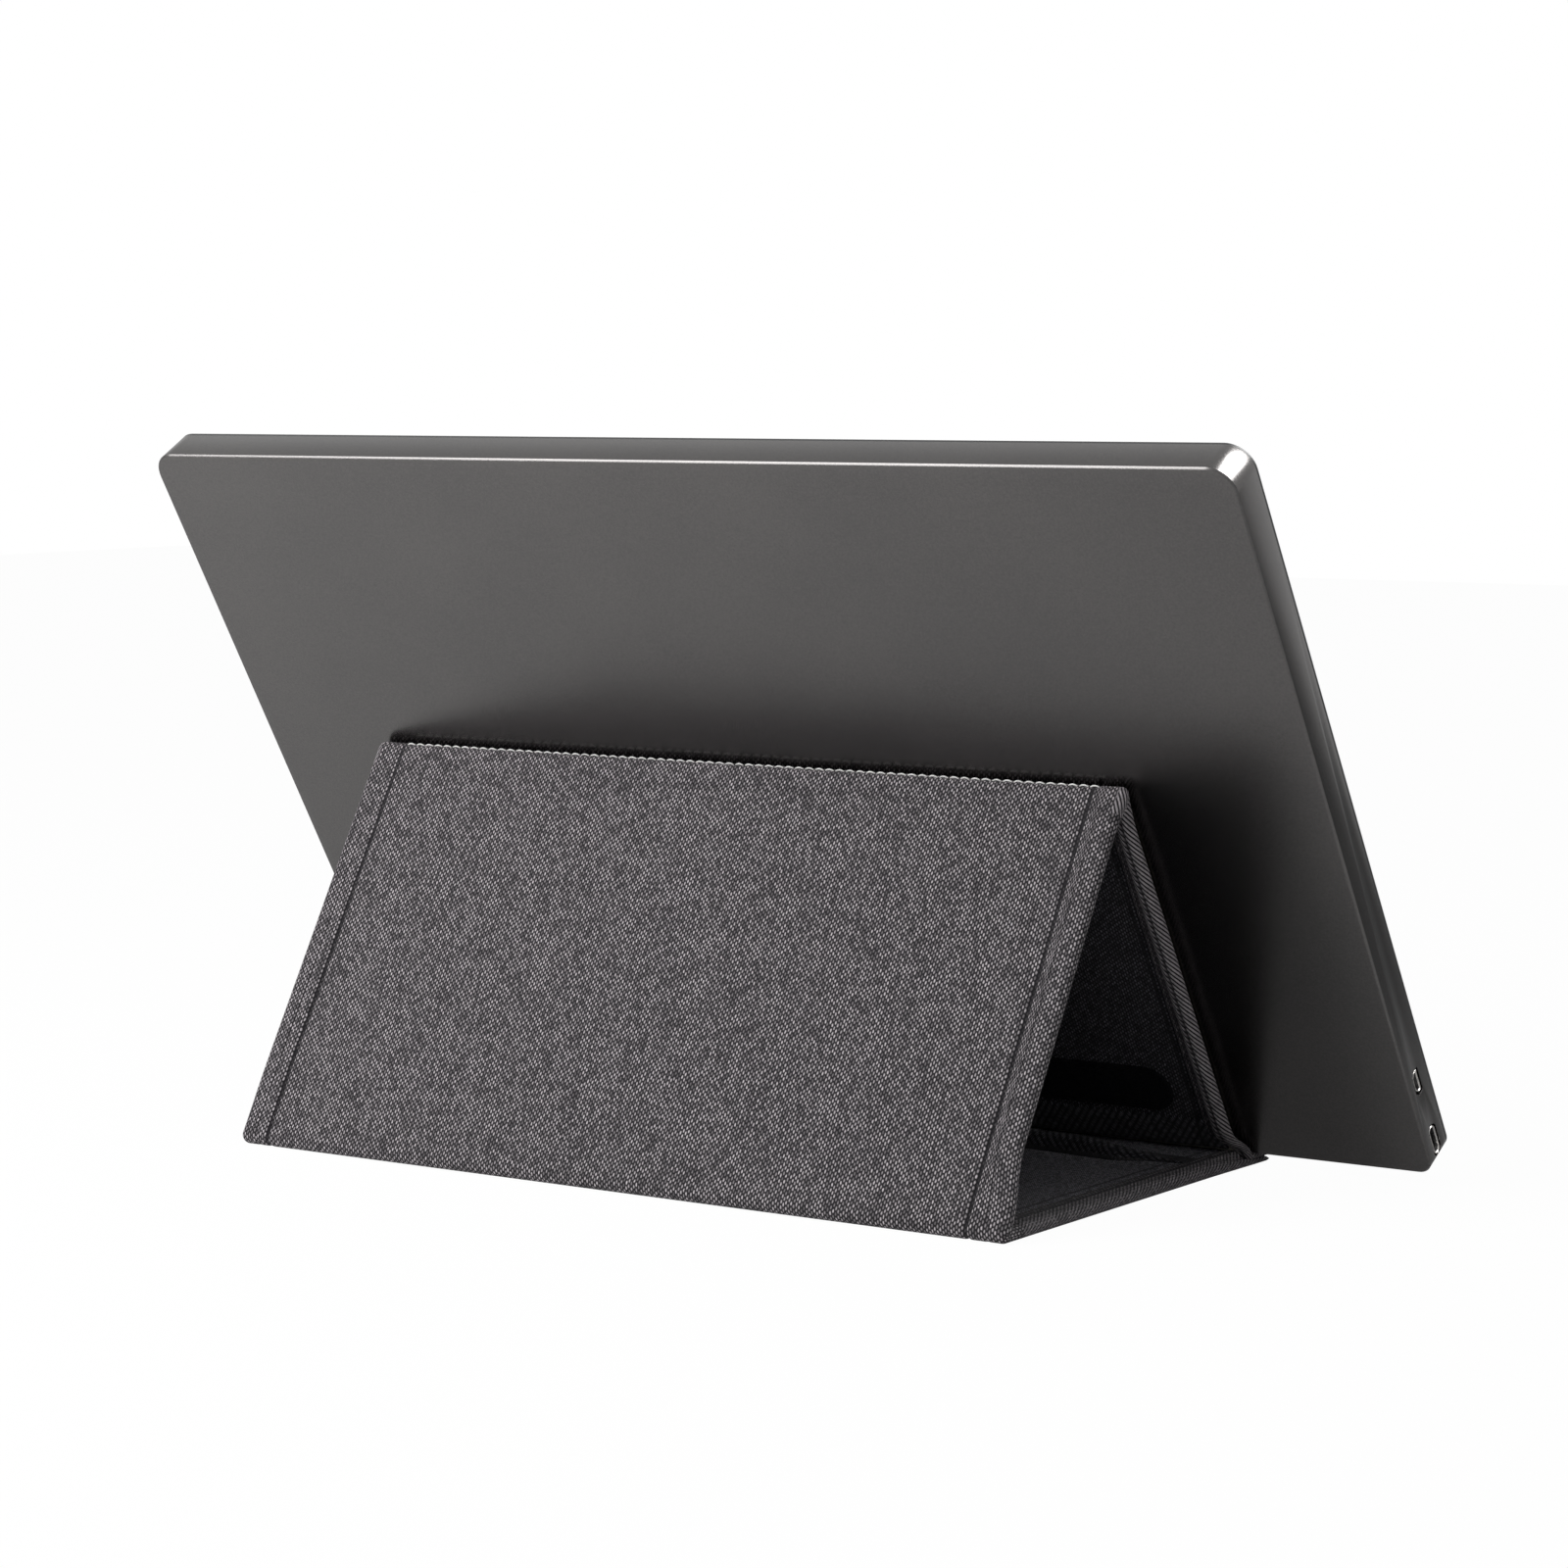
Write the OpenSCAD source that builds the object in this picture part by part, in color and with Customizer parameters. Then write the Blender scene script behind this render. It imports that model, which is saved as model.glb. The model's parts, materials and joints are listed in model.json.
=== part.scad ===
// Portable monitor leaning on its fabric cover, which is folded into a three-sided stand.
// Screen faces -Y, the stand is at +Y, the floor is Z = 0 and X = 0 is the middle of the monitor.

/* [Monitor body] */
// Width of the monitor
mon_w = 358.7; // [335:0.1:400]
// Height of the monitor, along its own face
mon_h = 226.2; // [200:0.1:260]
// Thickness of the monitor
mon_t = 11.8; // [11.5:0.1:15]
// Lean of the monitor back from vertical, in degrees
tilt = 31; // [27:0.5:34]
// Radius of the two upper corners
corner_top = 7.5; // [3:0.5:10]
// Radius of the two lower corners
corner_bot = 4.5; // [3:0.5:8]
// Chamfer round the edge of the back
edge_chamfer = 0.5; // [0.2:0.1:1]
// Wall of the rear shell
shell_t = 1.2; // [0.9:0.1:1.5]
// Thickness of the front bezel
bezel_t = 0.8; // [0.6:0.1:1.2]
// Width of the bezel's skirt inside the wall
skirt_w = 1; // [0.6:0.1:1.4]
// Depth of the bezel's skirt
skirt_h = 1.6; // [1:0.1:2.5]
// Gap between parts that are pushed together by hand
slip_gap = 0.1; // [0.05:0.01:0.2]

/* [Screen] */
// Border beside the picture
side_border = 7.25; // [6:0.05:10]
// Border above the picture
top_border = 8; // [6:0.1:12]
// Border below the picture
chin = 24.6; // [22:0.1:32]
// How far the display panel reaches past the picture at the sides and top
panel_margin = 3.2; // [2:0.1:4]
// How far the display panel reaches past the picture at the bottom
panel_foot = 9; // [7:0.1:10]
// Clearance of the window round the picture
window_gap = 0.5; // [0.2:0.1:1]
// Thickness of the liquid crystal cell
cell_t = 1.2; // [0.8:0.1:1.4]
// Thickness of the optical films
film_t = 0.5; // [0.3:0.1:0.8]
// Thickness of the light guide
guide_t = 0.7; // [0.5:0.1:1]
// Thickness of the reflector sheet
reflector_t = 0.2; // [0.1:0.05:0.3]
// Thickness of the steel back plate of the panel
plate_t = 0.4; // [0.3:0.1:0.6]
// Thickness of the foam tapes
tape_t = 0.3; // [0.2:0.05:0.4]
// Width of the panel frame's sides
frame_w = 2; // [1.5:0.1:2.5]
// Width of the light strip
led_w = 1.6; // [1.2:0.1:2.2]

/* [Boards] */
// Thickness of the circuit boards
board_t = 1; // [0.8:0.1:1.2]
// Length of the main board
board_len = 110; // [90:1:120]
// Height of the main board
board_h = 56; // [48:1:62]
// Height of the posts under the main board
standoff = 1.2; // [1:0.1:1.4]
// Height of the posts under the control board
control_standoff = 1.5; // [1.2:0.1:1.7]
// Width of the control board
control_w = 16; // [12:0.5:20]
// Radius of the screw posts
boss_r = 2.2; // [1.8:0.1:2.6]
// Radius of the screws' shanks
screw_r = 0.8; // [0.6:0.05:1]
// Radius of the screws' heads
screw_head_r = 1.8; // [1.5:0.1:2.2]
// Height of the screws' heads
screw_head_h = 0.7; // [0.5:0.1:1]
// Distance from a board's ends to its screws
screw_inset = 5; // [4:0.5:7]
// Least gap between the boards and the shell's walls
board_side = 1.2; // [1:0.1:2]
// Width of the ribs that carry the panel
rib_w = 2; // [1.5:0.1:4]
// Number of ribs that carry the panel
rib_count = 3; // [2:1:5]
// Distance from the ribs' ends to the panel's sides
rib_side = 20; // [14:1:30]
// Distance from the first and last rib to the main board and the panel's top
rib_margin = 10; // [6:0.5:14]
// Side of the video chip
chip_w = 14; // [10:0.5:18]
// Distance of the video chip from the middle of the main board
chip_shift = 4; // [0:0.5:8]
// Height of the video chip above the main board's lower edge
chip_up = 32.5; // [28:0.5:33]
// Length of the shield can
can_len = 38; // [30:1:44]
// Width of the shield can
can_w = 28.5; // [24:0.5:30]
// Height of the shield can
can_h = 2.4; // [2:0.1:3]
// Number of coils and capacitors beside the port
coil_count = 3; // [2:1:4]
// Side of the coils
coil_w = 5; // [4:0.1:5.5]
// Height of the coils
coil_h = 2; // [1.6:0.1:2.8]
// Radius of the capacitors
cap_r = 1.7; // [1.2:0.1:2]
// Height of the capacitors
cap_h = 2.2; // [1.8:0.1:2.8]
// Gap between the coils, and from them to the capacitors
coil_gap = 2; // [1.5:0.1:2.5]
// Height of the lowest coil above the main board's lower edge
coil_up = 20; // [18:0.5:20]
// Width of the display cable
cable_w = 9; // [6:0.5:10]
// Thickness of the display cable
cable_t = 0.3; // [0.2:0.05:0.4]
// Length of the display cable that lies on each board
cable_lie = 8; // [5:0.5:12]
// Length over which the display cable climbs
cable_climb = 14; // [10:0.5:18]
// Distance from the main board's end to where the display cable starts to climb
cable_start = 22; // [18:0.5:24]
// Height of the board that drives the panel
driver_h = 10; // [7:0.5:11]
// How far that board reaches back over the main board
driver_overlap = 50; // [49:0.5:60]
// Distance from that board's end to the panel's side
driver_side = 55; // [45:1:70]
// Distance of the posts under that board from its end and from the main board
post_inset = 20; // [12:1:30]
// Gap between those posts and the board's long edges
post_edge = 1; // [0.5:0.1:2]

/* [Ports] */
// Height of the power and picture port above the monitor's bottom edge
usb_up = 7.8; // [7.6:0.1:11]
// Depth of that port's middle from the back face
usb_depth = 5.6; // [5.3:0.1:5.8]
// Length of that port's metal shell
usb_len = 8.94; // [8.5:0.02:9.4]
// Thickness of that port's metal shell
usb_t = 3.26; // [3:0.02:3.4]
// Height of the small video port above the monitor's bottom edge
hdmi_up = 28.5; // [22:0.1:40]
// Depth of the small video port's middle from the back face
hdmi_depth = 4.85; // [4.8:0.01:5.4]
// Length of the small video port's shell
hdmi_len = 6.5; // [6:0.1:8]
// Thickness of the small video port's shell
hdmi_t = 2.8; // [2.4:0.1:2.8]
// Size of the small video port's cut-off corners
hdmi_corner = 1.25; // [1:0.05:1.3]
// Wall of the ports' shells
port_wall = 0.3; // [0.2:0.05:0.4]
// How far the ports reach into the monitor
port_reach = 7.4; // [6.5:0.1:9]
// How far the ports sit back from the monitor's side
port_recess = 0.2; // [0.1:0.05:0.4]
// Thickness of the ports' back walls
port_back = 1; // [0.6:0.1:1.4]
// Distance from the ports to the screws beside them
port_clear = 5.8; // [5:0.1:8]
// Thickness of the ports' tongues
tongue_t = 0.65; // [0.5:0.05:0.7]
// Gap beside the ports' tongues
tongue_side = 1.1; // [0.9:0.05:1.3]
// How far the tongues sit back from the ports' mouths
tongue_recess = 1; // [0.6:0.1:1.6]
// Length of the ports' feet
foot_len = 3; // [2:0.1:4]
// Width of the ports' feet
foot_w = 3.2; // [2.4:0.1:3.6]
// Clearance of the cut-outs round the ports
port_gap = 0.6; // [0.3:0.05:0.8]
// Height of the second power port, on the far side
far_usb_up = 16; // [12:0.5:18]

/* [Controls] */
// Height of the power button above the monitor's bottom edge
power_up = 34; // [32:0.5:38]
// Height of the menu button above the monitor's bottom edge
menu_up = 50; // [49:0.5:54]
// Height of the adjusting rocker above the monitor's bottom edge
rocker_up = 71; // [70:0.5:76]
// Depth of the controls' middle from the back face
control_depth = 5; // [4.9:0.05:5.3]
// Length of the two buttons
button_len = 8; // [6:0.5:9]
// Thickness of the buttons and the rocker
button_t = 2.8; // [2.2:0.1:2.8]
// Length of the rocker
rocker_len = 16; // [14:0.5:18]
// Travel of the buttons
button_travel = 0.4; // [0.3:0.05:0.5]
// Clearance round the buttons
button_gap = 0.12; // [0.08:0.01:0.2]
// Clearance round the rocker
rocker_gap = 0.25; // [0.2:0.01:0.35]
// How far the control board reaches past the parts on it
control_margin = 1; // [0.6:0.1:2]
// Thickness of the flange that keeps a button in
flange_t = 0.8; // [0.6:0.05:0.9]
// Width of the flange round a button
flange_w = 0.8; // [0.6:0.05:0.9]
// Length of the stem behind a button's flange
stem_len = 0.65; // [0.5:0.05:0.9]
// Width of the stem
stem_w = 2; // [1.6:0.1:2.4]
// Thickness of the stem and of the rocker's arms
stem_t = 1.8; // [1.5:0.1:2]
// Reach of the rocker's arms to both sides of its pin
rocker_arm = 6; // [5.6:0.1:6.6]
// Distance from the rocker's pin to the switches under it
rocker_press = 5; // [4.6:0.1:5.4]
// Radius of the rocker's eye
rocker_eye = 1.05; // [1:0.01:1.1]
// Length of a switch's plunger
plunger_len = 0.7; // [0.5:0.05:1]
// Length of a switch's body
switch_len = 3.4; // [2.8:0.1:4]
// Width of a switch's body
switch_w = 3.2; // [2.6:0.1:3.6]
// Width of the rocker's bracket
bracket_w = 3; // [2.4:0.1:4]
// Wall of the rocker's bracket
bracket_t = 0.6; // [0.5:0.05:0.7]
// Thickness of the bracket's upper ear
ear_t = 0.6; // [0.5:0.05:0.7]
// Gap between the rocker and the bracket's ears
ear_gap = 0.1; // [0.05:0.01:0.15]
// Radius of the rocker's pin
pin_r = 0.5; // [0.4:0.05:0.6]
// Running clearance round the rocker's pin
pin_gap = 0.05; // [0.03:0.01:0.08]

/* [Cover] */
// Width of the cover
cover_w = 259; // [220:1:320]
// Offset of the cover's middle from the monitor's middle
cover_shift = 5.1; // [-8:0.1:8]
// Distance up the monitor's back from its bottom edge to the top fold's axis
apex_up = 125; // [110:0.5:140]
// Distance along the floor from the monitor's back bottom edge to the rear fold's axis
base_run = 129.3; // [118:0.1:140]
// Thickness of the fabric
fabric_t = 0.8; // [0.6:0.05:1]
// Thickness of each stiffener board
stiffener_t = 1.2; // [1:0.05:1.4]
// Outer radius of the folds
fold_r = 2.6; // [2.4:0.1:3]
// Thickness of the lip that the monitor stands on
lip_t = 3.3; // [2.6:0.1:3.6]
// Distance from the monitor's bottom edge back to the edge of the base panel
base_setback = 1.2; // [0.8:0.1:2]
// How far the lip reaches under the monitor
lip_run = 9; // [6:0.5:9.5]
// Width of the rolled edge bindings
binding_w = 5; // [4:0.5:7]
// Distance from a fold's axis to the stiffeners
stiffener_inset = 7; // [5:0.5:10]
// Gap between neighbours that only lean on each other
rest_gap = 0.3; // [0.25:0.01:0.4]
// Gap between a fold's bead and the edge bindings
binding_gap = 0.8; // [0.7:0.05:1]

/* [Closure] */
// Height of the pouch mouth's hem above the monitor's bottom edge
hem_up = 5; // [4:0.5:7]
// Width of the hem
hem_w = 10; // [7:0.5:11]
// Height of the loop patch above the monitor's bottom edge
patch_up = 16.5; // [16:0.5:24]
// Width of the loop patch
patch_w = 15.5; // [12:0.5:20]
// Distance of the loop patch and ribbed strip from the cover's sides
patch_inset = 17; // [12:0.5:30]
// Thickness of the loop patch, hem and ribbed strip
trim_t = 0.8; // [0.5:0.05:1]
// Distance from the monitor's bottom edge to the ribbed strip
strip_run = 24; // [22:0.5:30]
// Width of the ribbed strip
strip_w = 16; // [10:0.5:20]
// Width of the facing in front of the ribbed strip
facing_w = 14; // [10:0.5:14]
// Distance of the stitching from the cover's sides
stitch_inset = 10; // [8:0.5:20]
// Pitch of the stitching along the top fold
stitch_pitch = 3.4; // [2.5:0.1:6]
// Length of one stitch
stitch_len = 2.6; // [1.5:0.1:3]
// Width of the thread
thread_w = 0.7; // [0.4:0.05:1]
// Thickness of the thread, half sunk into the fold
thread_t = 0.35; // [0.25:0.05:0.5]

/* [Hidden] */
$fn = 48;

shell_colour = "#55545a";
fabric_colour = "#6a6670";
lining_colour = "#3c3a40";
board_colour = "#b9a582";
black = "#161618";
pcb_colour = "#1f5a3c";
metal = "#b9bcc0";

// A cut reaches this far past what it cuts
over = 1;

// Cross-section of the stand, in the plane of Y and Z
panel_t = 2 * (fabric_t + stiffener_t);
m0_z = lip_t + rest_gap - edge_chamfer * sin(tilt);
rear_reach = max(base_run + fold_r, mon_h * sin(tilt));
m0_y = (mon_t * cos(tilt) - rear_reach) / 2;
up_dir = [sin(tilt), cos(tilt)];
out_dir = [cos(tilt), -sin(tilt)];
m0 = [m0_y, m0_z];
apex = m0 + apex_up * up_dir + (rest_gap + fold_r) * out_dir;
rear = [m0_y + base_run, fold_r];
back_len = norm(apex - rear);
back_angle = atan2(apex[1] - rear[1], apex[0] - rear[0]);
front_angle = 270 - tilt;
base_len = base_run - base_setback;
front_len = apex_up + over;

// Across the cover
cover_x0 = cover_shift - cover_w / 2;
cover_x1 = cover_shift + cover_w / 2;
inner_x0 = cover_x0 + binding_w;
inner_x1 = cover_x1 - binding_w;

// Layers through a panel, measured inward from the fold's axis
outer_z = -fold_r;
board_z0 = outer_z + fabric_t;
board_z1 = board_z0 + stiffener_t;
lining_z = board_z1 + stiffener_t;
inner_z = outer_z + panel_t;
fabric_cut_r = fold_r + rest_gap;
binding_cut_r = fold_r + binding_gap;

// Stitches along the top fold; they stay below the monitor's back when the fold opens
stitch_count = floor((cover_w - 2 * stitch_inset) / stitch_pitch);
first_stitch_x = cover_shift - (stitch_count - 1) * stitch_pitch / 2;
last_stitch_x = first_stitch_x + (stitch_count - 1) * stitch_pitch;
thread_z = apex[1] + fold_r + rest_gap / 2 - thread_t;

// Layers through the monitor, measured from its back face
bezel_z = mon_t - bezel_t;
cell_z = bezel_z - tape_t - cell_t;
film_z = cell_z - film_t;
guide_z = film_z - guide_t;
reflector_z = guide_z - reflector_t;
plate_z = reflector_z - plate_t;
rib_z = plate_z - tape_t;
frame_t = cell_z - plate_z - plate_t;
main_board_z = shell_t + standoff;
main_top = main_board_z + board_t;
control_board_z = shell_t + control_standoff;
control_top = control_board_z + board_t;

// Edges of the picture and of the panel
edge_x = mon_w / 2;
wall_x = edge_x - shell_t;
picture_x = edge_x - side_border;
picture_y0 = chin;
picture_y1 = mon_h - top_border;
panel_x = picture_x + panel_margin;
panel_y0 = picture_y0 - panel_foot;
panel_y1 = picture_y1 + panel_margin;
guide_x = panel_x - frame_w - slip_gap;
guide_y0 = panel_y0 + frame_w + led_w + 2 * slip_gap;
guide_y1 = panel_y1 - frame_w - slip_gap;

// Boards and their screws
inner_corner = corner_bot - shell_t;
corner_room = inner_corner - (inner_corner - rest_gap) / sqrt(2);
board_gap = max(board_side, corner_room + 2 * slip_gap);
board_x0 = board_gap - wall_x;
board_x1 = board_x0 + board_len;
board_y0 = shell_t + board_gap;
board_y1 = board_y0 + board_h;
port_room = port_reach + port_clear;
main_screws = [
  for (x = [board_x0 + port_room, board_x1 - screw_inset])
    for (y = [board_y0 + screw_inset, board_y1 - screw_inset]) [x, y]
];
screw_hole_r = screw_r + pin_gap;
screw_len = board_t + standoff;

// Controls, from the outside of the wall inward
flange_x = wall_x - slip_gap - flange_t;
stem_x = flange_x - stem_len;
plunger_x = stem_x - button_travel - slip_gap;
switch_x = plunger_x - plunger_len - switch_len;
switch_z = control_top;
switch_t = 2 * (control_depth - control_top);
pivot_x = wall_x - rocker_eye - pin_gap;
bracket_x = pivot_x - rocker_eye - 2 * rest_gap - bracket_t;
ear_z0 = control_depth - button_t / 2 - ear_gap;
ear_z1 = control_depth + button_t / 2 + ear_gap;
control_x1 = bracket_x - rest_gap;
control_x0 = control_x1 - control_w;
control_y0 = far_usb_up - usb_len / 2 - control_margin;
control_y1 = rocker_up + rocker_press + switch_w / 2 + control_margin;
control_screw_x = control_x0 + screw_head_r + control_margin;
control_screws = [
  for (y = [control_y0 + 2 * screw_inset, (menu_up + rocker_up) / 2]) [control_screw_x, y]
];

// Ribs under the panel
rib_x = panel_x - rib_side;
rib_y0 = board_y1 + rib_margin;
rib_y1 = panel_y1 - rib_margin;
rib_step = (rib_y1 - rib_y0) / (rib_count - 1);

// Board that drives the panel, in the chin
driver_y1 = panel_y0 - rest_gap;
driver_y0 = driver_y1 - driver_h;
driver_x0 = board_x1 - driver_overlap;
driver_x1 = panel_x - driver_side;
driver_z = plate_z + plate_t;
driver_posts = [board_x1 + post_inset, driver_x1 - post_inset];

// Parts on the main board
chip_x = (board_x0 + board_x1) / 2 + chip_shift;
chip_y = board_y0 + chip_up;
coil_x = board_x0 + port_room + screw_head_r + coil_gap;

module on_panel(fold, angle) {
  translate([0, fold[0], fold[1]]) rotate([angle, 0, 0]) children();
}

module on_base() on_panel(rear, 0) children();
module on_back() on_panel(rear, back_angle) children();
module on_front() on_panel(apex, front_angle) children();
module on_monitor() translate([0, m0_y, m0_z]) rotate([90 - tilt, 0, 0]) children();

module block(low, high) translate(low) cube(high - low);

// Round bar across the cover, on the axis that it is called in
module across(r, x0, x1) translate([x0, 0, 0]) rotate([0, 90, 0]) cylinder(r = r, h = x1 - x0);

module fold_cut(r) across(r, cover_x0 - over, cover_x1 + over);

module layer(y0, y1, z0, t, inset = 0) {
  block([inner_x0 + inset, y0, z0], [inner_x1 - inset, y1, z0 + t]);
}

// Rolled binding along both sides of a panel
module bindings(y0, y1) {
  r = panel_t / 2;
  mid_z = outer_z + r;
  for (side = [0, 1]) {
    round_x = side == 0 ? cover_x0 + r : cover_x1 - r;
    flat_x = side == 0 ? inner_x0 : inner_x1;
    translate([round_x, y0, mid_z]) rotate([-90, 0, 0]) cylinder(r = r, h = y1 - y0);
    block([min(round_x, flat_x), y0, outer_z], [max(round_x, flat_x), y1, inner_z]);
  }
}

// Everything of the front panel stays above the base
module base_room() {
  block([cover_x0 - over, m0_y - mon_t, -over], [cover_x1 + over, rear[0], panel_t + rest_gap]);
}

module base_outer_fabric() color(fabric_colour) on_base() difference() {
  layer(-base_len, 0, outer_z, fabric_t);
  fold_cut(fabric_cut_r);
}

module base_outer_board() color(board_colour) on_base() {
  layer(-base_len + fabric_t, -stiffener_inset, board_z0, stiffener_t);
}

module base_inner_board() color(board_colour) on_base() {
  layer(-base_len + fabric_t, -stiffener_inset, board_z1, stiffener_t);
}

module base_inner_fabric() color(lining_colour) on_base() difference() {
  layer(-base_len, 0, lining_z, fabric_t);
  fold_cut(binding_cut_r);
}

module base_bindings() color(fabric_colour) on_base() difference() {
  bindings(-base_len, 0);
  fold_cut(binding_cut_r);
}

module closure_lip() color(fabric_colour) {
  nose_r = lip_t / 2;
  block([cover_x0, m0_y - lip_run + nose_r, 0], [cover_x1, rear[0] - base_len, lip_t]);
  translate([0, m0_y - lip_run + nose_r, nose_r]) across(nose_r, cover_x0, cover_x1);
}

module ribbed_strip() color(black) {
  strip_y = m0_y + strip_run;
  block([cover_x0 + patch_inset, strip_y, panel_t],
        [cover_x1 - patch_inset, strip_y + strip_w, panel_t + trim_t]);
}

module mouth_facing() color(fabric_colour) {
  edge_y = m0_y + strip_run;
  facing_t = trim_t + fabric_t / 2;
  nose_r = facing_t / 2;
  block([inner_x0, edge_y - facing_w + nose_r, panel_t], [inner_x1, edge_y, panel_t + facing_t]);
  translate([0, edge_y - facing_w + nose_r, panel_t + nose_r]) across(nose_r, inner_x0, inner_x1);
}

module rear_fold() color(fabric_colour) on_base() across(fold_r, cover_x0, cover_x1);

module back_outer_fabric() color(fabric_colour) on_back() difference() {
  layer(0, back_len, outer_z, fabric_t);
  fold_cut(fabric_cut_r);
  translate([0, back_len, 0]) fold_cut(fabric_cut_r);
}

module back_outer_board() color(board_colour) on_back() {
  layer(stiffener_inset, back_len - stiffener_inset, board_z0, stiffener_t);
}

module back_inner_board() color(board_colour) on_back() {
  layer(stiffener_inset, back_len - stiffener_inset, board_z1, stiffener_t);
}

module back_inner_fabric() color(lining_colour) on_back() difference() {
  layer(0, back_len, lining_z, fabric_t);
  fold_cut(binding_cut_r);
  translate([0, back_len, 0]) fold_cut(binding_cut_r);
}

module back_bindings() color(fabric_colour) on_back() difference() {
  bindings(0, back_len);
  fold_cut(binding_cut_r);
  translate([0, back_len, 0]) fold_cut(binding_cut_r);
}

// Bead of the top fold, with the groove that the stitches pull into it
module apex_fold() color(fabric_colour) difference() {
  on_front() across(fold_r, cover_x0, cover_x1);
  groove_y = thread_w / 2 + slip_gap;
  block([first_stitch_x - stitch_len, apex[0] - groove_y, thread_z],
        [last_stitch_x + stitch_len, apex[0] + groove_y, apex[1] + 2 * fold_r]);
}

module apex_stitching() color("white")
  for (i = [0 : stitch_count - 1])
    translate([first_stitch_x + i * stitch_pitch - stitch_len / 2, apex[0] - thread_w / 2, thread_z])
      cube([stitch_len, thread_w, thread_t]);

module front_outer_fabric() color(fabric_colour) difference() {
  on_front() difference() {
    layer(0, front_len, outer_z, fabric_t);
    fold_cut(fabric_cut_r);
  }
  base_room();
}

module front_outer_board() color(board_colour) difference() {
  on_front() layer(stiffener_inset, front_len - fabric_t, board_z0, stiffener_t);
  base_room();
}

module front_inner_board() color(board_colour) on_front() {
  layer(stiffener_inset, apex_up - hem_up - fabric_t, board_z1, stiffener_t);
}

module front_inner_fabric() color(lining_colour) on_front() difference() {
  layer(0, apex_up - hem_up, lining_z, fabric_t);
  fold_cut(binding_cut_r);
}

module front_bindings() color(fabric_colour) difference() {
  on_front() difference() {
    bindings(0, front_len);
    fold_cut(binding_cut_r);
  }
  base_room();
}

module loop_patch() color(black) on_front() {
  end_r = patch_w / 2;
  mid_y = apex_up - patch_up - end_r;
  x0 = cover_x0 + patch_inset;
  x1 = cover_x1 - patch_inset;
  block([x0 + end_r, mid_y - end_r, inner_z], [x1 - end_r, mid_y + end_r, inner_z + trim_t]);
  for (x = [x0 + end_r, x1 - end_r])
    translate([x, mid_y, inner_z]) cylinder(r = end_r, h = trim_t);
}

module mouth_hem() color(lining_colour) on_front() {
  layer(apex_up - hem_up - hem_w, apex_up - hem_up, inner_z, trim_t);
}

// Outline of the monitor, drawn in from its edge
module outline(inset) {
  w = mon_w - 2 * inset;
  r_top = corner_top - inset;
  r_bot = corner_bot - inset;
  translate([-w / 2, corner_bot]) square([w, mon_h - corner_top - corner_bot]);
  translate([-w / 2 + r_bot, inset]) square([w - 2 * r_bot, mon_h / 2]);
  translate([-w / 2 + r_top, mon_h / 2]) square([w - 2 * r_top, mon_h / 2 - inset]);
  for (side = [-1, 1]) {
    translate([side * (edge_x - corner_top), mon_h - corner_top]) circle(r_top);
    translate([side * (edge_x - corner_bot), corner_bot]) circle(r_bot);
  }
}

// Layer of the shell in which the edge of the back slopes in, and a core that joins it to the rest
module chamfered_back() {
  c = edge_chamfer;
  for (side = [-1, 1]) {
    translate([side * (edge_x - corner_top), mon_h - corner_top])
      cylinder(r1 = corner_top - c, r2 = corner_top, h = c);
    translate([side * (edge_x - corner_bot), corner_bot])
      cylinder(r1 = corner_bot - c, r2 = corner_bot, h = c);
  }
  top_x = edge_x - corner_top;
  bot_x = edge_x - corner_bot;
  translate([-top_x, 0, 0]) rotate([90, 0, 90]) linear_extrude(2 * top_x)
    polygon([[mon_h / 2, 0], [mon_h - c, 0], [mon_h, c], [mon_h - c, 2 * c], [mon_h / 2, 2 * c]]);
  translate([-bot_x, 0, 0]) rotate([90, 0, 90]) linear_extrude(2 * bot_x)
    polygon([[mon_h / 2, 0], [c, 0], [0, c], [c, 2 * c], [mon_h / 2, 2 * c]]);
  side_h = mon_h - corner_top - corner_bot;
  low_x = edge_x - c;
  translate([0, mon_h - corner_top, 0]) rotate([90, 0, 0]) linear_extrude(side_h)
    polygon([[-low_x, 0], [low_x, 0], [edge_x, c], [low_x, 2 * c], [-low_x, 2 * c], [-edge_x, c]]);
}

// Slot with round ends, its length along the monitor's height and its depth across it
module slot(len, t, x0, x1) {
  straight = len - t;
  block([x0, -straight / 2, -t / 2], [x1, straight / 2, t / 2]);
  for (end = [-1, 1]) translate([0, end * straight / 2, 0]) across(t / 2, x0, x1);
}

// Outline of the small video port: its two lower corners are cut off
module hdmi_shape(grow) {
  half = hdmi_len / 2 + grow;
  low = -hdmi_t / 2 - grow;
  high = hdmi_t / 2 + grow;
  cut = hdmi_corner;
  polygon([
    [-half, high], [-half, low + cut], [-half + cut, low],
    [half - cut, low], [half, low + cut], [half, high]
  ]);
}

module hdmi_prism(grow, x0, x1) {
  translate([x0, 0, 0]) rotate([90, 0, 90]) linear_extrude(x1 - x0) hdmi_shape(grow);
}

// Screw post, rooted in the wall under it
module boss(place, height) {
  root = over / 2;
  translate([place[0], place[1], shell_t - root]) difference() {
    cylinder(r = boss_r, h = root + height);
    translate([0, 0, root]) cylinder(r = screw_hole_r, h = height + over);
  }
}

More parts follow.
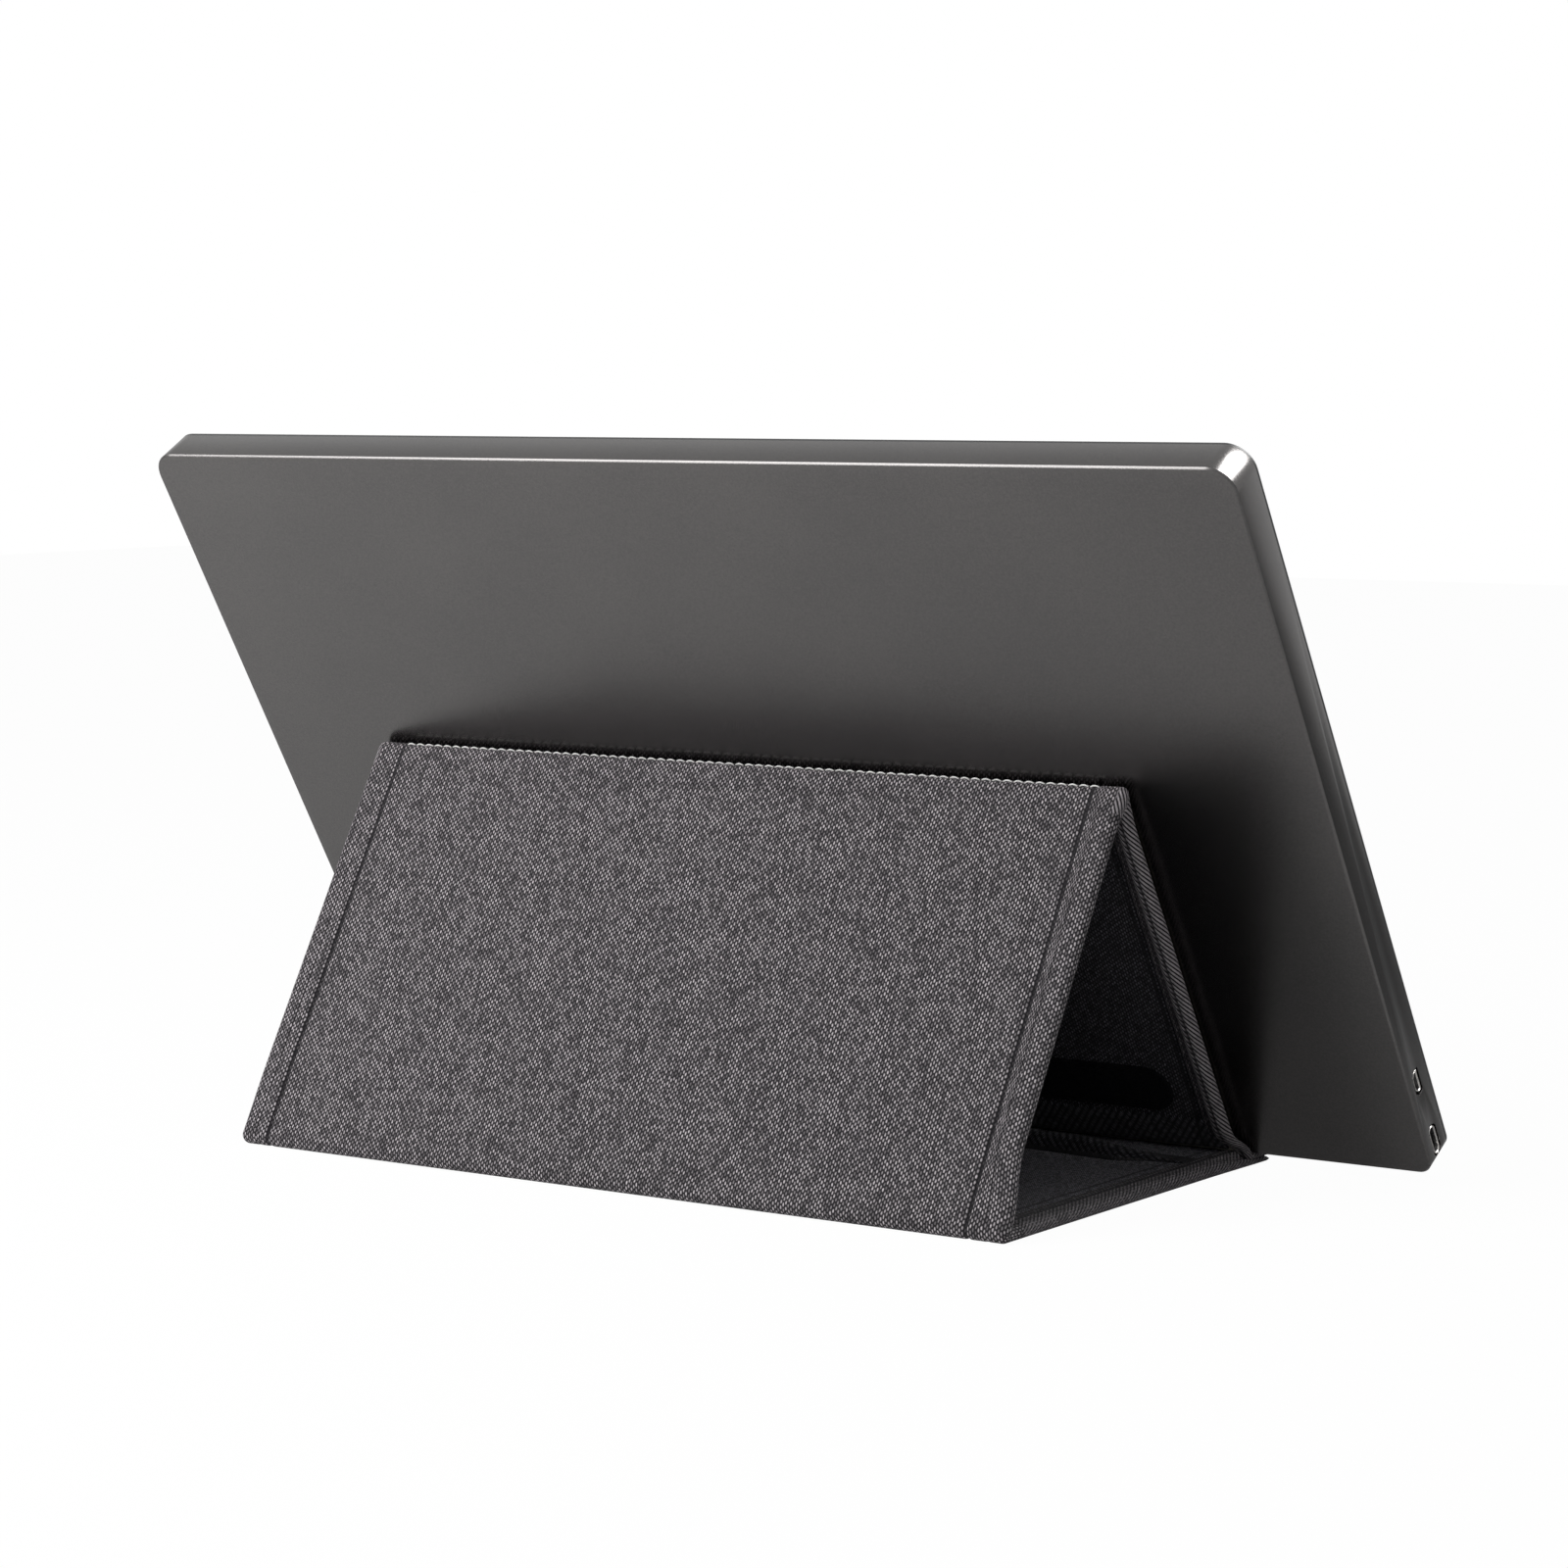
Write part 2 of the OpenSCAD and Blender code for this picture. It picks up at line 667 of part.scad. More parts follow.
module rear_shell() color(shell_colour) on_monitor() {
  difference() {
    union() {
      chamfered_back();
      translate([0, 0, edge_chamfer]) linear_extrude(bezel_z - edge_chamfer) outline(0);
    }
    translate([0, 0, shell_t]) linear_extrude(mon_t) outline(shell_t);
    translate([0, usb_up, usb_depth])
      slot(usb_len + 2 * port_gap, usb_t + 2 * port_gap, -edge_x - over, -wall_x + over / 2);
    translate([0, hdmi_up, hdmi_depth]) hdmi_prism(port_gap, -edge_x - over, -wall_x + over / 2);
    translate([0, far_usb_up, usb_depth])
      slot(usb_len + 2 * port_gap, usb_t + 2 * port_gap, wall_x - over / 2, edge_x + over);
    for (y = [power_up, menu_up]) translate([0, y, control_depth])
      slot(button_len + 2 * button_gap, button_t + 2 * button_gap, wall_x - over / 2, edge_x + over);
    translate([0, rocker_up, control_depth])
      slot(rocker_len + 2 * rocker_gap, button_t + 2 * rocker_gap, wall_x - over / 2, edge_x + over);
  }
  for (place = main_screws) boss(place, standoff);
  for (place = control_screws) boss(place, control_standoff);
  for (i = [0 : rib_count - 1])
    block([-rib_x, rib_y0 + i * rib_step, shell_t - over / 2],
          [rib_x, rib_y0 + i * rib_step + rib_w, rib_z]);
  for (x = driver_posts)
    block([x, driver_y0 + post_edge, shell_t - over / 2],
          [x + rib_w, driver_y1 - post_edge, driver_z]);
}

module mounting_tape() color(black) on_monitor() {
  for (i = [0 : rib_count - 1])
    block([-rib_x, rib_y0 + i * rib_step, rib_z], [rib_x, rib_y0 + i * rib_step + rib_w, plate_z]);
}

module front_bezel() color(black) on_monitor() difference() {
  union() {
    translate([0, 0, bezel_z]) linear_extrude(bezel_t) outline(0);
    translate([0, 0, bezel_z - skirt_h]) linear_extrude(skirt_h) difference() {
      outline(shell_t + slip_gap);
      outline(shell_t + slip_gap + skirt_w);
    }
  }
  block([-picture_x - window_gap, picture_y0 - window_gap, 0],
        [picture_x + window_gap, picture_y1 + window_gap, mon_t + over]);
}

module bezel_tape() color(black) on_monitor() difference() {
  block([-panel_x, panel_y0, bezel_z - tape_t], [panel_x, panel_y1, bezel_z]);
  block([-picture_x - 2 * window_gap, picture_y0 - 2 * window_gap, 0],
        [picture_x + 2 * window_gap, picture_y1 + 2 * window_gap, mon_t]);
}

module lcd_cell() color("#0d0e12") on_monitor()
  block([-panel_x, panel_y0, cell_z], [panel_x, panel_y1, cell_z + cell_t]);

module optical_films() color("white") on_monitor()
  block([-guide_x, guide_y0, film_z], [guide_x, guide_y1, film_z + film_t]);

module light_guide() color("#dfe8ee") on_monitor()
  block([-guide_x, guide_y0, guide_z], [guide_x, guide_y1, guide_z + guide_t]);

module reflector_sheet() color("#f4f4f4") on_monitor()
  block([-guide_x, guide_y0, reflector_z], [guide_x, guide_y1, reflector_z + reflector_t]);

module led_strip() color("#f2e7a8") on_monitor()
  block([-guide_x, guide_y0 - slip_gap - led_w, guide_z],
        [guide_x, guide_y0 - slip_gap, guide_z + guide_t]);

module panel_frame() color("#e8e8e8") on_monitor() difference() {
  block([-panel_x, panel_y0, cell_z - frame_t], [panel_x, panel_y1, cell_z]);
  block([-guide_x - slip_gap, panel_y0 + frame_w, 0],
        [guide_x + slip_gap, guide_y1 + slip_gap, mon_t]);
}

module panel_back_plate() color(metal) on_monitor()
  block([-panel_x, panel_y0, plate_z], [panel_x, panel_y1, plate_z + plate_t]);

module driver_board() color(pcb_colour) on_monitor()
  block([driver_x0, driver_y0, driver_z], [driver_x1, driver_y1, driver_z + board_t]);

// Flat cable that lies on the main board, climbs and lies under the driver board
module display_cable() color("#c98b2b") on_monitor() {
  t = cable_t;
  low_x = board_x1 - cable_start;
  low_end = low_x + cable_lie;
  climb_x = low_x - cable_climb;
  high_end = climb_x - cable_lie;
  high_z = driver_z - t;
  translate([0, driver_y1, 0]) rotate([90, 0, 0]) linear_extrude(cable_w)
    polygon([
      [low_end, main_top], [low_end, main_top + t], [low_x, main_top + t],
      [climb_x, driver_z], [high_end, driver_z], [high_end, high_z],
      [climb_x, high_z], [low_x, main_top]
    ]);
}

module main_board() color(pcb_colour) on_monitor() difference() {
  block([board_x0, board_y0, main_board_z], [board_x1, board_y1, main_top]);
  for (place = main_screws) translate([place[0], place[1], main_board_z - over])
    cylinder(r = screw_hole_r, h = board_t + 2 * over);
}

module video_chip() color(black) on_monitor() translate([chip_x, chip_y, main_top])
  block([-chip_w / 2, -chip_w / 2, 0], [chip_w / 2, chip_w / 2, can_h / 2]);

module shield_can() color(metal) on_monitor() translate([chip_x, chip_y, main_top]) difference() {
  block([-can_len / 2, -can_w / 2, 0], [can_len / 2, can_w / 2, can_h]);
  block([-can_len / 2 + port_wall, -can_w / 2 + port_wall, -over],
        [can_len / 2 - port_wall, can_w / 2 - port_wall, can_h - port_wall]);
}

module power_parts() color("#3a3a3a") on_monitor()
  for (i = [0 : coil_count - 1])
    translate([coil_x, board_y0 + coil_up + i * (coil_w + coil_gap), main_top]) {
      cube([coil_w, coil_w, coil_h]);
      translate([coil_w + coil_gap + cap_r, coil_w / 2, 0]) cylinder(r = cap_r, h = cap_h);
    }

// Tongue in a port whose mouth is where x is 0, with its lower face at z0
module port_tongue(len, z0) {
  half = len / 2 - tongue_side;
  block([tongue_recess, -half, z0], [port_reach - port_back / 2, half, z0 + tongue_t]);
}

// Foot of a port, from its board up into the wall of its shell
module port_foot(board_top, depth, t) {
  block([port_reach - foot_len, -foot_w / 2, board_top - depth],
        [port_reach, foot_w / 2, (port_wall - t) / 2]);
}

// Metal shell with a tongue, open to the side where x is 0, on a foot that stands on its board
module usb_port(board_top) {
  difference() {
    slot(usb_len, usb_t, 0, port_reach);
    slot(usb_len - 2 * port_wall, usb_t - 2 * port_wall, -over, port_reach - port_back);
  }
  port_tongue(usb_len, -tongue_t / 2);
  port_foot(board_top, usb_depth, usb_t);
}

module usb_c_port() color(metal) on_monitor()
  translate([port_recess - edge_x, usb_up, usb_depth]) usb_port(main_top);

module far_usb_c_port() color(metal) on_monitor()
  translate([edge_x - port_recess, far_usb_up, usb_depth]) mirror([1, 0, 0]) usb_port(control_top);

module micro_hdmi_port() color(metal) on_monitor()
  translate([port_recess - edge_x, hdmi_up, hdmi_depth]) {
    difference() {
      hdmi_prism(0, 0, port_reach);
      hdmi_prism(-port_wall, -over, port_reach - port_back);
    }
    port_tongue(hdmi_len, 0);
    port_foot(main_top, hdmi_depth, hdmi_t);
  }

module control_board() color(pcb_colour) on_monitor() difference() {
  block([control_x0, control_y0, control_board_z], [control_x1, control_y1, control_top]);
  for (place = control_screws) translate([place[0], place[1], control_board_z - over])
    cylinder(r = screw_hole_r, h = board_t + 2 * over);
}

module tact_switches() color("#2a2a2c") on_monitor()
  for (y = [power_up, menu_up, rocker_up - rocker_press, rocker_up + rocker_press]) {
    block([switch_x, y - switch_w / 2, switch_z],
          [switch_x + switch_len, y + switch_w / 2, switch_z + switch_t]);
    translate([0, y, control_depth]) across(stem_t / 3, switch_x + switch_len, plunger_x);
  }

// C-shaped bracket round the rocker's eye, standing on the shell
module rocker_bracket() color("#2a2a2c") on_monitor() difference() {
  translate([0, rocker_up + bracket_w / 2, 0]) rotate([90, 0, 0]) linear_extrude(bracket_w) {
    ear_x = pivot_x + 2 * pin_r;
    polygon([
      [bracket_x, shell_t], [ear_x, shell_t], [ear_x, ear_z0],
      [bracket_x + bracket_t, ear_z0], [bracket_x + bracket_t, ear_z1],
      [ear_x, ear_z1], [ear_x, ear_z1 + ear_t], [bracket_x, ear_z1 + ear_t]
    ]);
  }
  translate([pivot_x, rocker_up, shell_t - over]) cylinder(r = pin_r + pin_gap / 2, h = mon_t);
}

module rocker_pin() color(metal) on_monitor() translate([pivot_x, rocker_up, shell_t + rest_gap])
  cylinder(r = pin_r, h = ear_z1 + ear_t - shell_t - rest_gap);

module screw(place, z) {
  translate([place[0], place[1], z]) cylinder(r = screw_head_r, h = screw_head_h);
  translate([place[0], place[1], shell_t + slip_gap]) cylinder(r = screw_r, h = z - shell_t);
}

module board_screws() color(metal) on_monitor() {
  for (place = main_screws) screw(place, main_top);
  for (place = control_screws) screw(place, control_top);
}

module push_button(y) translate([0, y, control_depth]) {
  slot(button_len, button_t, flange_x, edge_x);
  slot(button_len + 2 * flange_w, button_t + 2 * flange_w, flange_x, wall_x - slip_gap);
  block([stem_x, -stem_w / 2, -stem_t / 2], [flange_x + slip_gap, stem_w / 2, stem_t / 2]);
}

module power_button() color("#3d3c40") on_monitor() push_button(power_up);
module menu_button() color("#3d3c40") on_monitor() push_button(menu_up);

module adjust_rocker() color("#3d3c40") on_monitor() translate([0, rocker_up, control_depth]) {
  difference() {
    union() {
      slot(rocker_len, button_t, wall_x - slip_gap, edge_x);
      block([stem_x, -rocker_arm, -stem_t / 2], [wall_x, rocker_arm, stem_t / 2]);
      translate([pivot_x, 0, -button_t / 2]) cylinder(r = rocker_eye, h = button_t);
      block([pivot_x, -rocker_eye, -button_t / 2], [wall_x, rocker_eye, button_t / 2]);
    }
    translate([pivot_x, 0, -button_t]) cylinder(r = pin_r + pin_gap, h = 2 * button_t);
  }
}

base_outer_fabric();
base_outer_board();
base_inner_board();
base_inner_fabric();
base_bindings();
closure_lip();
ribbed_strip();
mouth_facing();
rear_fold();
back_outer_fabric();
back_outer_board();
back_inner_board();
back_inner_fabric();
back_bindings();
apex_fold();
apex_stitching();
front_outer_fabric();
front_outer_board();
front_inner_board();
front_inner_fabric();
front_bindings();
loop_patch();
mouth_hem();
rear_shell();
front_bezel();
bezel_tape();
lcd_cell();
optical_films();
light_guide();
reflector_sheet();
led_strip();
panel_frame();
panel_back_plate();
mounting_tape();
driver_board();
display_cable();
main_board();
video_chip();
shield_can();
power_parts();
usb_c_port();
micro_hdmi_port();
far_usb_c_port();
control_board();
tact_switches();
rocker_bracket();
rocker_pin();
board_screws();
power_button();
menu_button();
adjust_rocker();
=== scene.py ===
import json
import math

import bmesh
import bpy
from mathutils import Matrix, Vector, noise


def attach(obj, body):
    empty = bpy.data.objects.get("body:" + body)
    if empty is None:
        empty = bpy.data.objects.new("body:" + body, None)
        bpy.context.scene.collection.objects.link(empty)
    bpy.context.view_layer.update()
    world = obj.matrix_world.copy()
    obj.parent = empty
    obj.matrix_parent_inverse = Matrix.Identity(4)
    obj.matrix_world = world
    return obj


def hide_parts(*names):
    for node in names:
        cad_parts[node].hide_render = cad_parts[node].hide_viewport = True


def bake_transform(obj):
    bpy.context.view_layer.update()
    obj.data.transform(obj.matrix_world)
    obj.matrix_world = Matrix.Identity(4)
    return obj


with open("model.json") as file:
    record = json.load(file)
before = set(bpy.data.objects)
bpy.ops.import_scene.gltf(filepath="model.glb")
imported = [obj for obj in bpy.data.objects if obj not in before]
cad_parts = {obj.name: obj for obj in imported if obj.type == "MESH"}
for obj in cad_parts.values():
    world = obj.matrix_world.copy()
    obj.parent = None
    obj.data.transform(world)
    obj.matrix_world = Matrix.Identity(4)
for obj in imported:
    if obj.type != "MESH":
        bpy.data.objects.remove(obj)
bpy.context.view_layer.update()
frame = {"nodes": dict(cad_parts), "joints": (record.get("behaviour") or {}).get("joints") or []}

# The camera stands behind the monitor, to the right of the stand and a little above it,
# with a long lens.
CAMERA_PLACE = (-0.6880, 0.9808, 0.2227)
CAMERA_TURN = 214.76
CAMERA_TILT = 84.41
CAMERA_ROLL = -0.18
LENS = 98.2
SENSOR = 36
FARTHEST = 30

camera = bpy.data.cameras.new("camera")
camera.lens = LENS
camera.sensor_width = SENSOR
camera.clip_end = FARTHEST
eye = bpy.data.objects.new("camera", camera)
eye.matrix_world = (
    Matrix.Translation(CAMERA_PLACE)
    @ Matrix.Rotation(math.radians(CAMERA_TURN), 4, "Z")
    @ Matrix.Rotation(math.radians(CAMERA_TILT), 4, "X")
    @ Matrix.Rotation(math.radians(CAMERA_ROLL), 4, "Z")
)
bpy.context.scene.collection.objects.link(eye)
bpy.context.scene.camera = eye


# The studio is white all round for the camera, a little greyer in the metal's reflections,
# and a dim fill for the light that falls on the object.
class Wire:
    """One socket of a node tree, so that shader maths reads as ordinary arithmetic."""

    def __init__(self, tree, socket=None):
        self.tree = tree
        self.socket = socket

    def node(self, kind, settings=None, inputs=None, output=0):
        made = self.tree.nodes.new("ShaderNode" + kind)
        for name, value in (settings or {}).items():
            if name == "stops":
                first, *middle, last = value
                ends = made.color_ramp.elements
                ends[0].position, ends[0].color = first
                ends[1].position, ends[1].color = last
                for position, colour in middle:
                    ends.new(position).color = colour
            else:
                setattr(made, name, value)
        for key, value in (inputs or {}).items():
            if isinstance(value, Wire):
                self.tree.links.new(value.socket, made.inputs[key])
            else:
                made.inputs[key].default_value = value
        return Wire(self.tree, made.outputs[output])

    def maths(self, operation, *values):
        return self.node("Math", {"operation": operation}, dict(enumerate(values)))

    def __add__(self, other):
        return self.maths("ADD", self, other)

    def __sub__(self, other):
        return self.maths("SUBTRACT", self, other)

    def __rsub__(self, other):
        return self.maths("SUBTRACT", other, self)

    def __mul__(self, other):
        return self.maths("MULTIPLY", self, other)

    def __truediv__(self, other):
        return self.maths("DIVIDE", self, other)

    def __gt__(self, other):
        return self.maths("GREATER_THAN", self, other)

    def __lt__(self, other):
        return self.maths("LESS_THAN", self, other)

    __radd__ = __add__
    __rmul__ = __mul__

    def between(self, low, high):
        """0 below low, 1 above high, and a soft step from one to the other."""
        return self.node(
            "MapRange",
            {"interpolation_type": "SMOOTHSTEP"},
            {"Value": self, "From Min": low, "From Max": high},
        )

    def tint(self, low, high):
        """A colour from low, where the wire is 0, to high, where it is 1."""
        return self.node("Mix", {"data_type": "RGBA"}, {0: self, 6: low, 7: high}, 2)

    def into(self, shader, socket):
        self.tree.links.new(self.socket, shader.inputs[socket])


def open_tree(owner, kind):
    """The emptied node tree of a world or material, with its output node."""
    owner.use_nodes = True
    tree = owner.node_tree
    tree.nodes.clear()
    return Wire(tree), tree.nodes.new("ShaderNodeOutput" + kind)


WHITE = (1, 1, 1, 1)
FILL_WHITE = (0.96, 0.98, 1, 1)
STUDIO_IN_METAL = 0.78
STUDIO_FILL = 0.20

world = bpy.data.worlds.new("studio")
bpy.context.scene.world = world
sky, sky_end = open_tree(world, "World")
to_camera = sky.node("LightPath", output="Is Camera Ray")
to_metal = sky.node("LightPath", output="Is Glossy Ray")
to_glass = sky.node("LightPath", output="Is Transmission Ray")
shown = to_glass.maths("MAXIMUM", to_camera + to_metal, to_glass)
white = sky.node("Background", inputs={"Color": WHITE,
                                       "Strength": 1 - to_metal * (1 - STUDIO_IN_METAL)})
fill = sky.node("Background", inputs={"Color": FILL_WHITE, "Strength": STUDIO_FILL})
sky.node("MixShader", inputs={0: shown, 1: fill, 2: white}).into(sky_end, "Surface")

# The floor is plain white card, with a greyer stretch past the side with the two sockets,
# that darkens the reflections in it. The camera sees it nearly as white as the wall behind.
FLOOR_SIZE = 6.0
FLOOR_GREY = (0.36, 0.36, 0.36, 1)
GREY_WAY = (-0.57, -0.82, 0)
GREY_FROM = (0.12, 0.45)
GREY_TO = (1.1, 2.0)
FLOOR_WHITE = (0.93, 0.93, 0.93, 1)
FLOOR_GLOW = 0.975
FLOOR_IN_METAL = 0.09

card = bmesh.new()
bmesh.ops.create_grid(card, x_segments=2, y_segments=2, size=FLOOR_SIZE / 2)
floor_mesh = bpy.data.meshes.new("floor")
card.to_mesh(floor_mesh)
card.free()
floor = bpy.data.objects.new("floor", floor_mesh)
bpy.context.scene.collection.objects.link(floor)
floor_card = bpy.data.materials.new("floor_card")
floor_mesh.materials.append(floor_card)
card_wire, card_end = open_tree(floor_card, "Material")
way = card_wire.node("TexCoord", output="Object")
beyond = way.node("VectorMath", {"operation": "DOT_PRODUCT"}, {0: way, 1: GREY_WAY}, "Value")
grey = beyond.between(*GREY_FROM) * (1 - beyond.between(*GREY_TO))
camera_ray = card_wire.node("LightPath", output="Is Camera Ray")
glossy_ray = card_wire.node("LightPath", output="Is Glossy Ray")
grey = grey * (1 - camera_ray)
matt = card_wire.node("BsdfDiffuse", inputs={"Color": grey.tint(FLOOR_WHITE, FLOOR_GREY)})
glow = card_wire.node("Emission", inputs={"Color": WHITE, "Strength": 1.0})
glowing = camera_ray * FLOOR_GLOW + glossy_ray * (FLOOR_IN_METAL * (1 - grey))
card_wire.node("MixShader", inputs={0: glowing, 1: matt, 2: glow}).into(card_end, "Surface")


# The key is a large softbox on the camera's left, and a faint one on its right lights the
# sockets. The large one above shows only in the metal, along its top edge and on its corner.
def softbox(name, toward, distance, size, irradiance):
    """A square lamp that faces the object and lights a surface turned to it so strongly."""
    lamp = bpy.data.lights.new(name, "AREA")
    lamp.shape = "SQUARE"
    lamp.size = size
    lamp.energy = irradiance * math.pi ** 2 * distance ** 2
    holder = bpy.data.objects.new(name, lamp)
    way = Vector(toward).normalized()
    holder.matrix_world = (Matrix.Translation(way * distance)
                           @ way.to_track_quat("Z", "Y").to_matrix().to_4x4())
    bpy.context.scene.collection.objects.link(holder)
    holder.visible_camera = False
    return holder


softbox("key_softbox", (0.45, 0.62, 0.64), 1.2, 0.75, 1.0)
softbox("side_softbox", (-0.83, 0.34, 0.44), 1.5, 0.8, 0.10)
corner_lamp = softbox("corner_softbox", (-0.48, -0.28, 0.80), 2.0, 1.5, 3.0)
corner_lamp.visible_diffuse = False

bpy.context.scene.view_settings.view_transform = "Standard"

# The monitor's rear shell is one thin tray of aluminium, blasted and anodised a satin dark
# grey. Its edges are cut with a fine chamfer, and the sockets and keys sit in its sides.
SHELL_GREY = (0.104, 0.1005, 0.100, 1)
SHELL_GREY_WORN = (0.128, 0.1225, 0.120, 1)
SHELL_EDGE = 0.00007


def new_material(name, constants):
    """A Principled material with its constants set, as the wire of its tree and its shader."""
    material = bpy.data.materials.new(name)
    material.use_nodes = True
    shader = material.node_tree.nodes["Principled BSDF"]
    for socket, value in constants.items():
        shader.inputs[socket].default_value = value
    return material, Wire(material.node_tree), shader


def bump(height, distance, strength=1.0):
    return height.node("Bump", inputs={"Height": height, "Distance": distance,
                                       "Strength": strength})


def grain(place, scale, detail=3, roughness=0.55):
    """Even noise from 0 to 1, with its scale in grains per metre."""
    return place.node("TexNoise", inputs={"Vector": place, "Scale": scale, "Detail": detail,
                                          "Roughness": roughness})


def joined_copy(node):
    """A bmesh of a CAD node whose loose triangles are joined, with its flat faces whole."""
    mesh = bmesh.new()
    mesh.from_mesh(frame["nodes"][node].data)
    bmesh.ops.remove_doubles(mesh, verts=mesh.verts, dist=2e-6)
    bmesh.ops.dissolve_limit(mesh, angle_limit=math.radians(1), verts=mesh.verts,
                             edges=mesh.edges)
    return mesh


def break_edges(mesh, width, segments=2, sharper=40):
    """Rounds the sharp edges of a solid by a small bevel."""
    sharp = [e for e in mesh.edges
             if len(e.link_faces) == 2 and e.calc_face_angle(0) > math.radians(sharper)]
    bmesh.ops.bevel(mesh, geom=sharp, offset=width, offset_type="OFFSET", segments=segments,
                    profile=0.5, affect="EDGES", clamp_overlap=True, material=-1)


def add_piece(name, mesh, material, body=None, nodes=(), smooth=30):
    """Makes a piece of a bmesh, with its finish, hides the CAD nodes that it replaces and puts it
    on the body that it rides on.
    """
    data = bpy.data.meshes.new(name)
    mesh.to_mesh(data)
    mesh.free()
    data.materials.append(material)
    piece = bpy.data.objects.new(name, data)
    bpy.context.scene.collection.objects.link(piece)
    data.shade_smooth()
    data.set_sharp_from_angle(angle=math.radians(smooth))
    if nodes:
        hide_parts(*nodes)
    if body:
        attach(piece, body)
    return piece


anodised, wire, shader = new_material("anodised_grey", {"Metallic": 1.0, "Roughness": 0.4})
place = wire.node("TexCoord", output="Object")
cloud = grain(place, 22, 4)
sand = grain(place, 5200, 2)
speck = grain(place, 1700, 2)
(0.3 * cloud + 0.7 * speck).between(0.3, 0.7).tint(SHELL_GREY, SHELL_GREY_WORN).into(
    shader, "Base Color")
(0.20 + 0.02 * cloud + 0.06 * sand).into(shader, "Roughness")
bump(sand, 0.000012, 0.6).into(shader, "Normal")

shell = joined_copy("rear_shell")
break_edges(shell, SHELL_EDGE)
add_piece("monitor_rear_shell", shell, anodised, "monitor", ["rear_shell"])

# The bezel is a thin moulded frame of black plastic round the glass, with a fine spark
# texture.
BEZEL_BLACK = (0.012, 0.012, 0.013, 1)
BEZEL_SHEEN = (0.020, 0.020, 0.021, 1)
BEZEL_EDGE = 0.00015


def grained(name, dark, light, scale, constants, depth=0.00002, rough=(0.4, 0.15)):
    """A plain solid finish with a fine grain in its colour, its gloss and its surface."""
    material, wire, shader = new_material(name, constants)
    place = wire.node("TexCoord", output="Object")
    fine = grain(place, scale, 3)
    cloud = grain(place, scale / 40, 3)
    (0.5 * fine + 0.5 * cloud).between(0.35, 0.65).tint(dark, light).into(shader, "Base Color")
    (rough[0] + rough[1] * fine).into(shader, "Roughness")
    bump(fine, depth, 0.7).into(shader, "Normal")
    return material


spark_black = grained("spark_black", BEZEL_BLACK, BEZEL_SHEEN, 3000, {}, 0.00003)
bezel = joined_copy("front_bezel")
break_edges(bezel, BEZEL_EDGE)
add_piece("monitor_front_bezel", bezel, spark_black, "monitor", ["front_bezel"])

# The keys on the far side are small dark metal caps, and the rocker is a bar of the same.
KEY_EDGE = 0.00012
key_grey = grained("key_grey", (0.05, 0.05, 0.052, 1), (0.07, 0.07, 0.072, 1), 4200,
                   {"Metallic": 1.0}, 0.00001, (0.3, 0.12))
for node, body in (("power_button", "power_key"), ("menu_button", "menu_key"),
                   ("adjust_rocker", "rocker_key")):
    cap = joined_copy(node)
    break_edges(cap, KEY_EDGE)
    add_piece("monitor_" + node, cap, key_grey, body, [node])

# The sockets are drawn steel shells, each round a black moulded tongue. Only their rims are
# plated bright; the shells' walls inside are painted black, as painted shade deep in the sockets.
PLATE_BRIGHT = (0.62, 0.60, 0.58, 1)
PLATE_DULL = (0.48, 0.46, 0.44, 1)
SOCKET_BLACK_AND_SHADE = (0.004, 0.004, 0.004, 1)
SOCKET_RIM = (0.17872, 0.17888)
SOCKET_EDGE = 0.00006

plated, wire, shader = new_material("plated_steel", {})
place = wire.node("TexCoord", output="Object")
fine = grain(place, 2600, 3)
side = wire.node("SeparateXYZ", inputs={"Vector": place}, output="X")
rim = side.maths("ABSOLUTE", side).between(*SOCKET_RIM)
rim.into(shader, "Metallic")
rim.tint(SOCKET_BLACK_AND_SHADE, fine.tint(PLATE_DULL, PLATE_BRIGHT)).into(shader, "Base Color")
(0.34 - 0.12 * fine).into(shader, "Roughness")
bump(fine, 0.000006, 0.7).into(shader, "Normal")
for node in ("usb_c_port", "micro_hdmi_port", "far_usb_c_port"):
    socket = joined_copy(node)
    break_edges(socket, SOCKET_EDGE, 1)
    add_piece("socket_" + node.removesuffix("_port"), socket, plated, "monitor",
              [node])

# The cover's outer cloth is a heather twill over stiff boards. It goes under the base,
# round the rear fold, up the back, over the top fold and down behind the monitor, and its
# sides are rolled over the boards and sewn down through all the layers.
MM = 0.001
COVER_MIDDLE = 5.1
HALF_WIDTH = 129.5
CLOTH = 0.5
OUT = 2.6
ROLL = 2.125
BOARD_HALF = HALF_WIDTH - ROLL
FLANGE = 7.0
SEAM_FROM_FOLD = 6.0
FAR_SEAM = 10.5
NEAR_SEAM = 12.0
FAINT_SEAM = 6.2
# Each flange seam: its place past the roll, the width of its groove, and how far its line is
# darkened as painted shade in the groove.
FLANGE_SEAMS = ((0.4, 0.45, 0.85), (3.1, 0.5, 0.8))
MONITOR_LEAN = 31
rear, apex = (Vector(joint["pos_m"][1:]) / MM for joint in frame["joints"][:2])
back_run = apex - rear
REAR_TURN = math.atan2(back_run.y, back_run.x)
APEX_TURN = math.radians(270 - MONITOR_LEAN) - REAR_TURN
REAR_ARC = OUT * REAR_TURN
APEX_ARC = OUT * APEX_TURN
BACK_START = REAR_ARC
BACK_END = BACK_START + back_run.length
FRONT_START = BACK_END + APEX_ARC
FRONT_TURN = REAR_TURN + APEX_TURN


def ease(low, high, value):
    """0 at low, 1 at high, and a smooth step between; low may be the larger."""
    part = min(1, max(0, (value - low) / (high - low)))
    return part * part * (3 - 2 * part)


def outward(turn):
    return Vector((math.sin(turn), -math.cos(turn)))


def onward(turn):
    return Vector((math.cos(turn), math.sin(turn)))


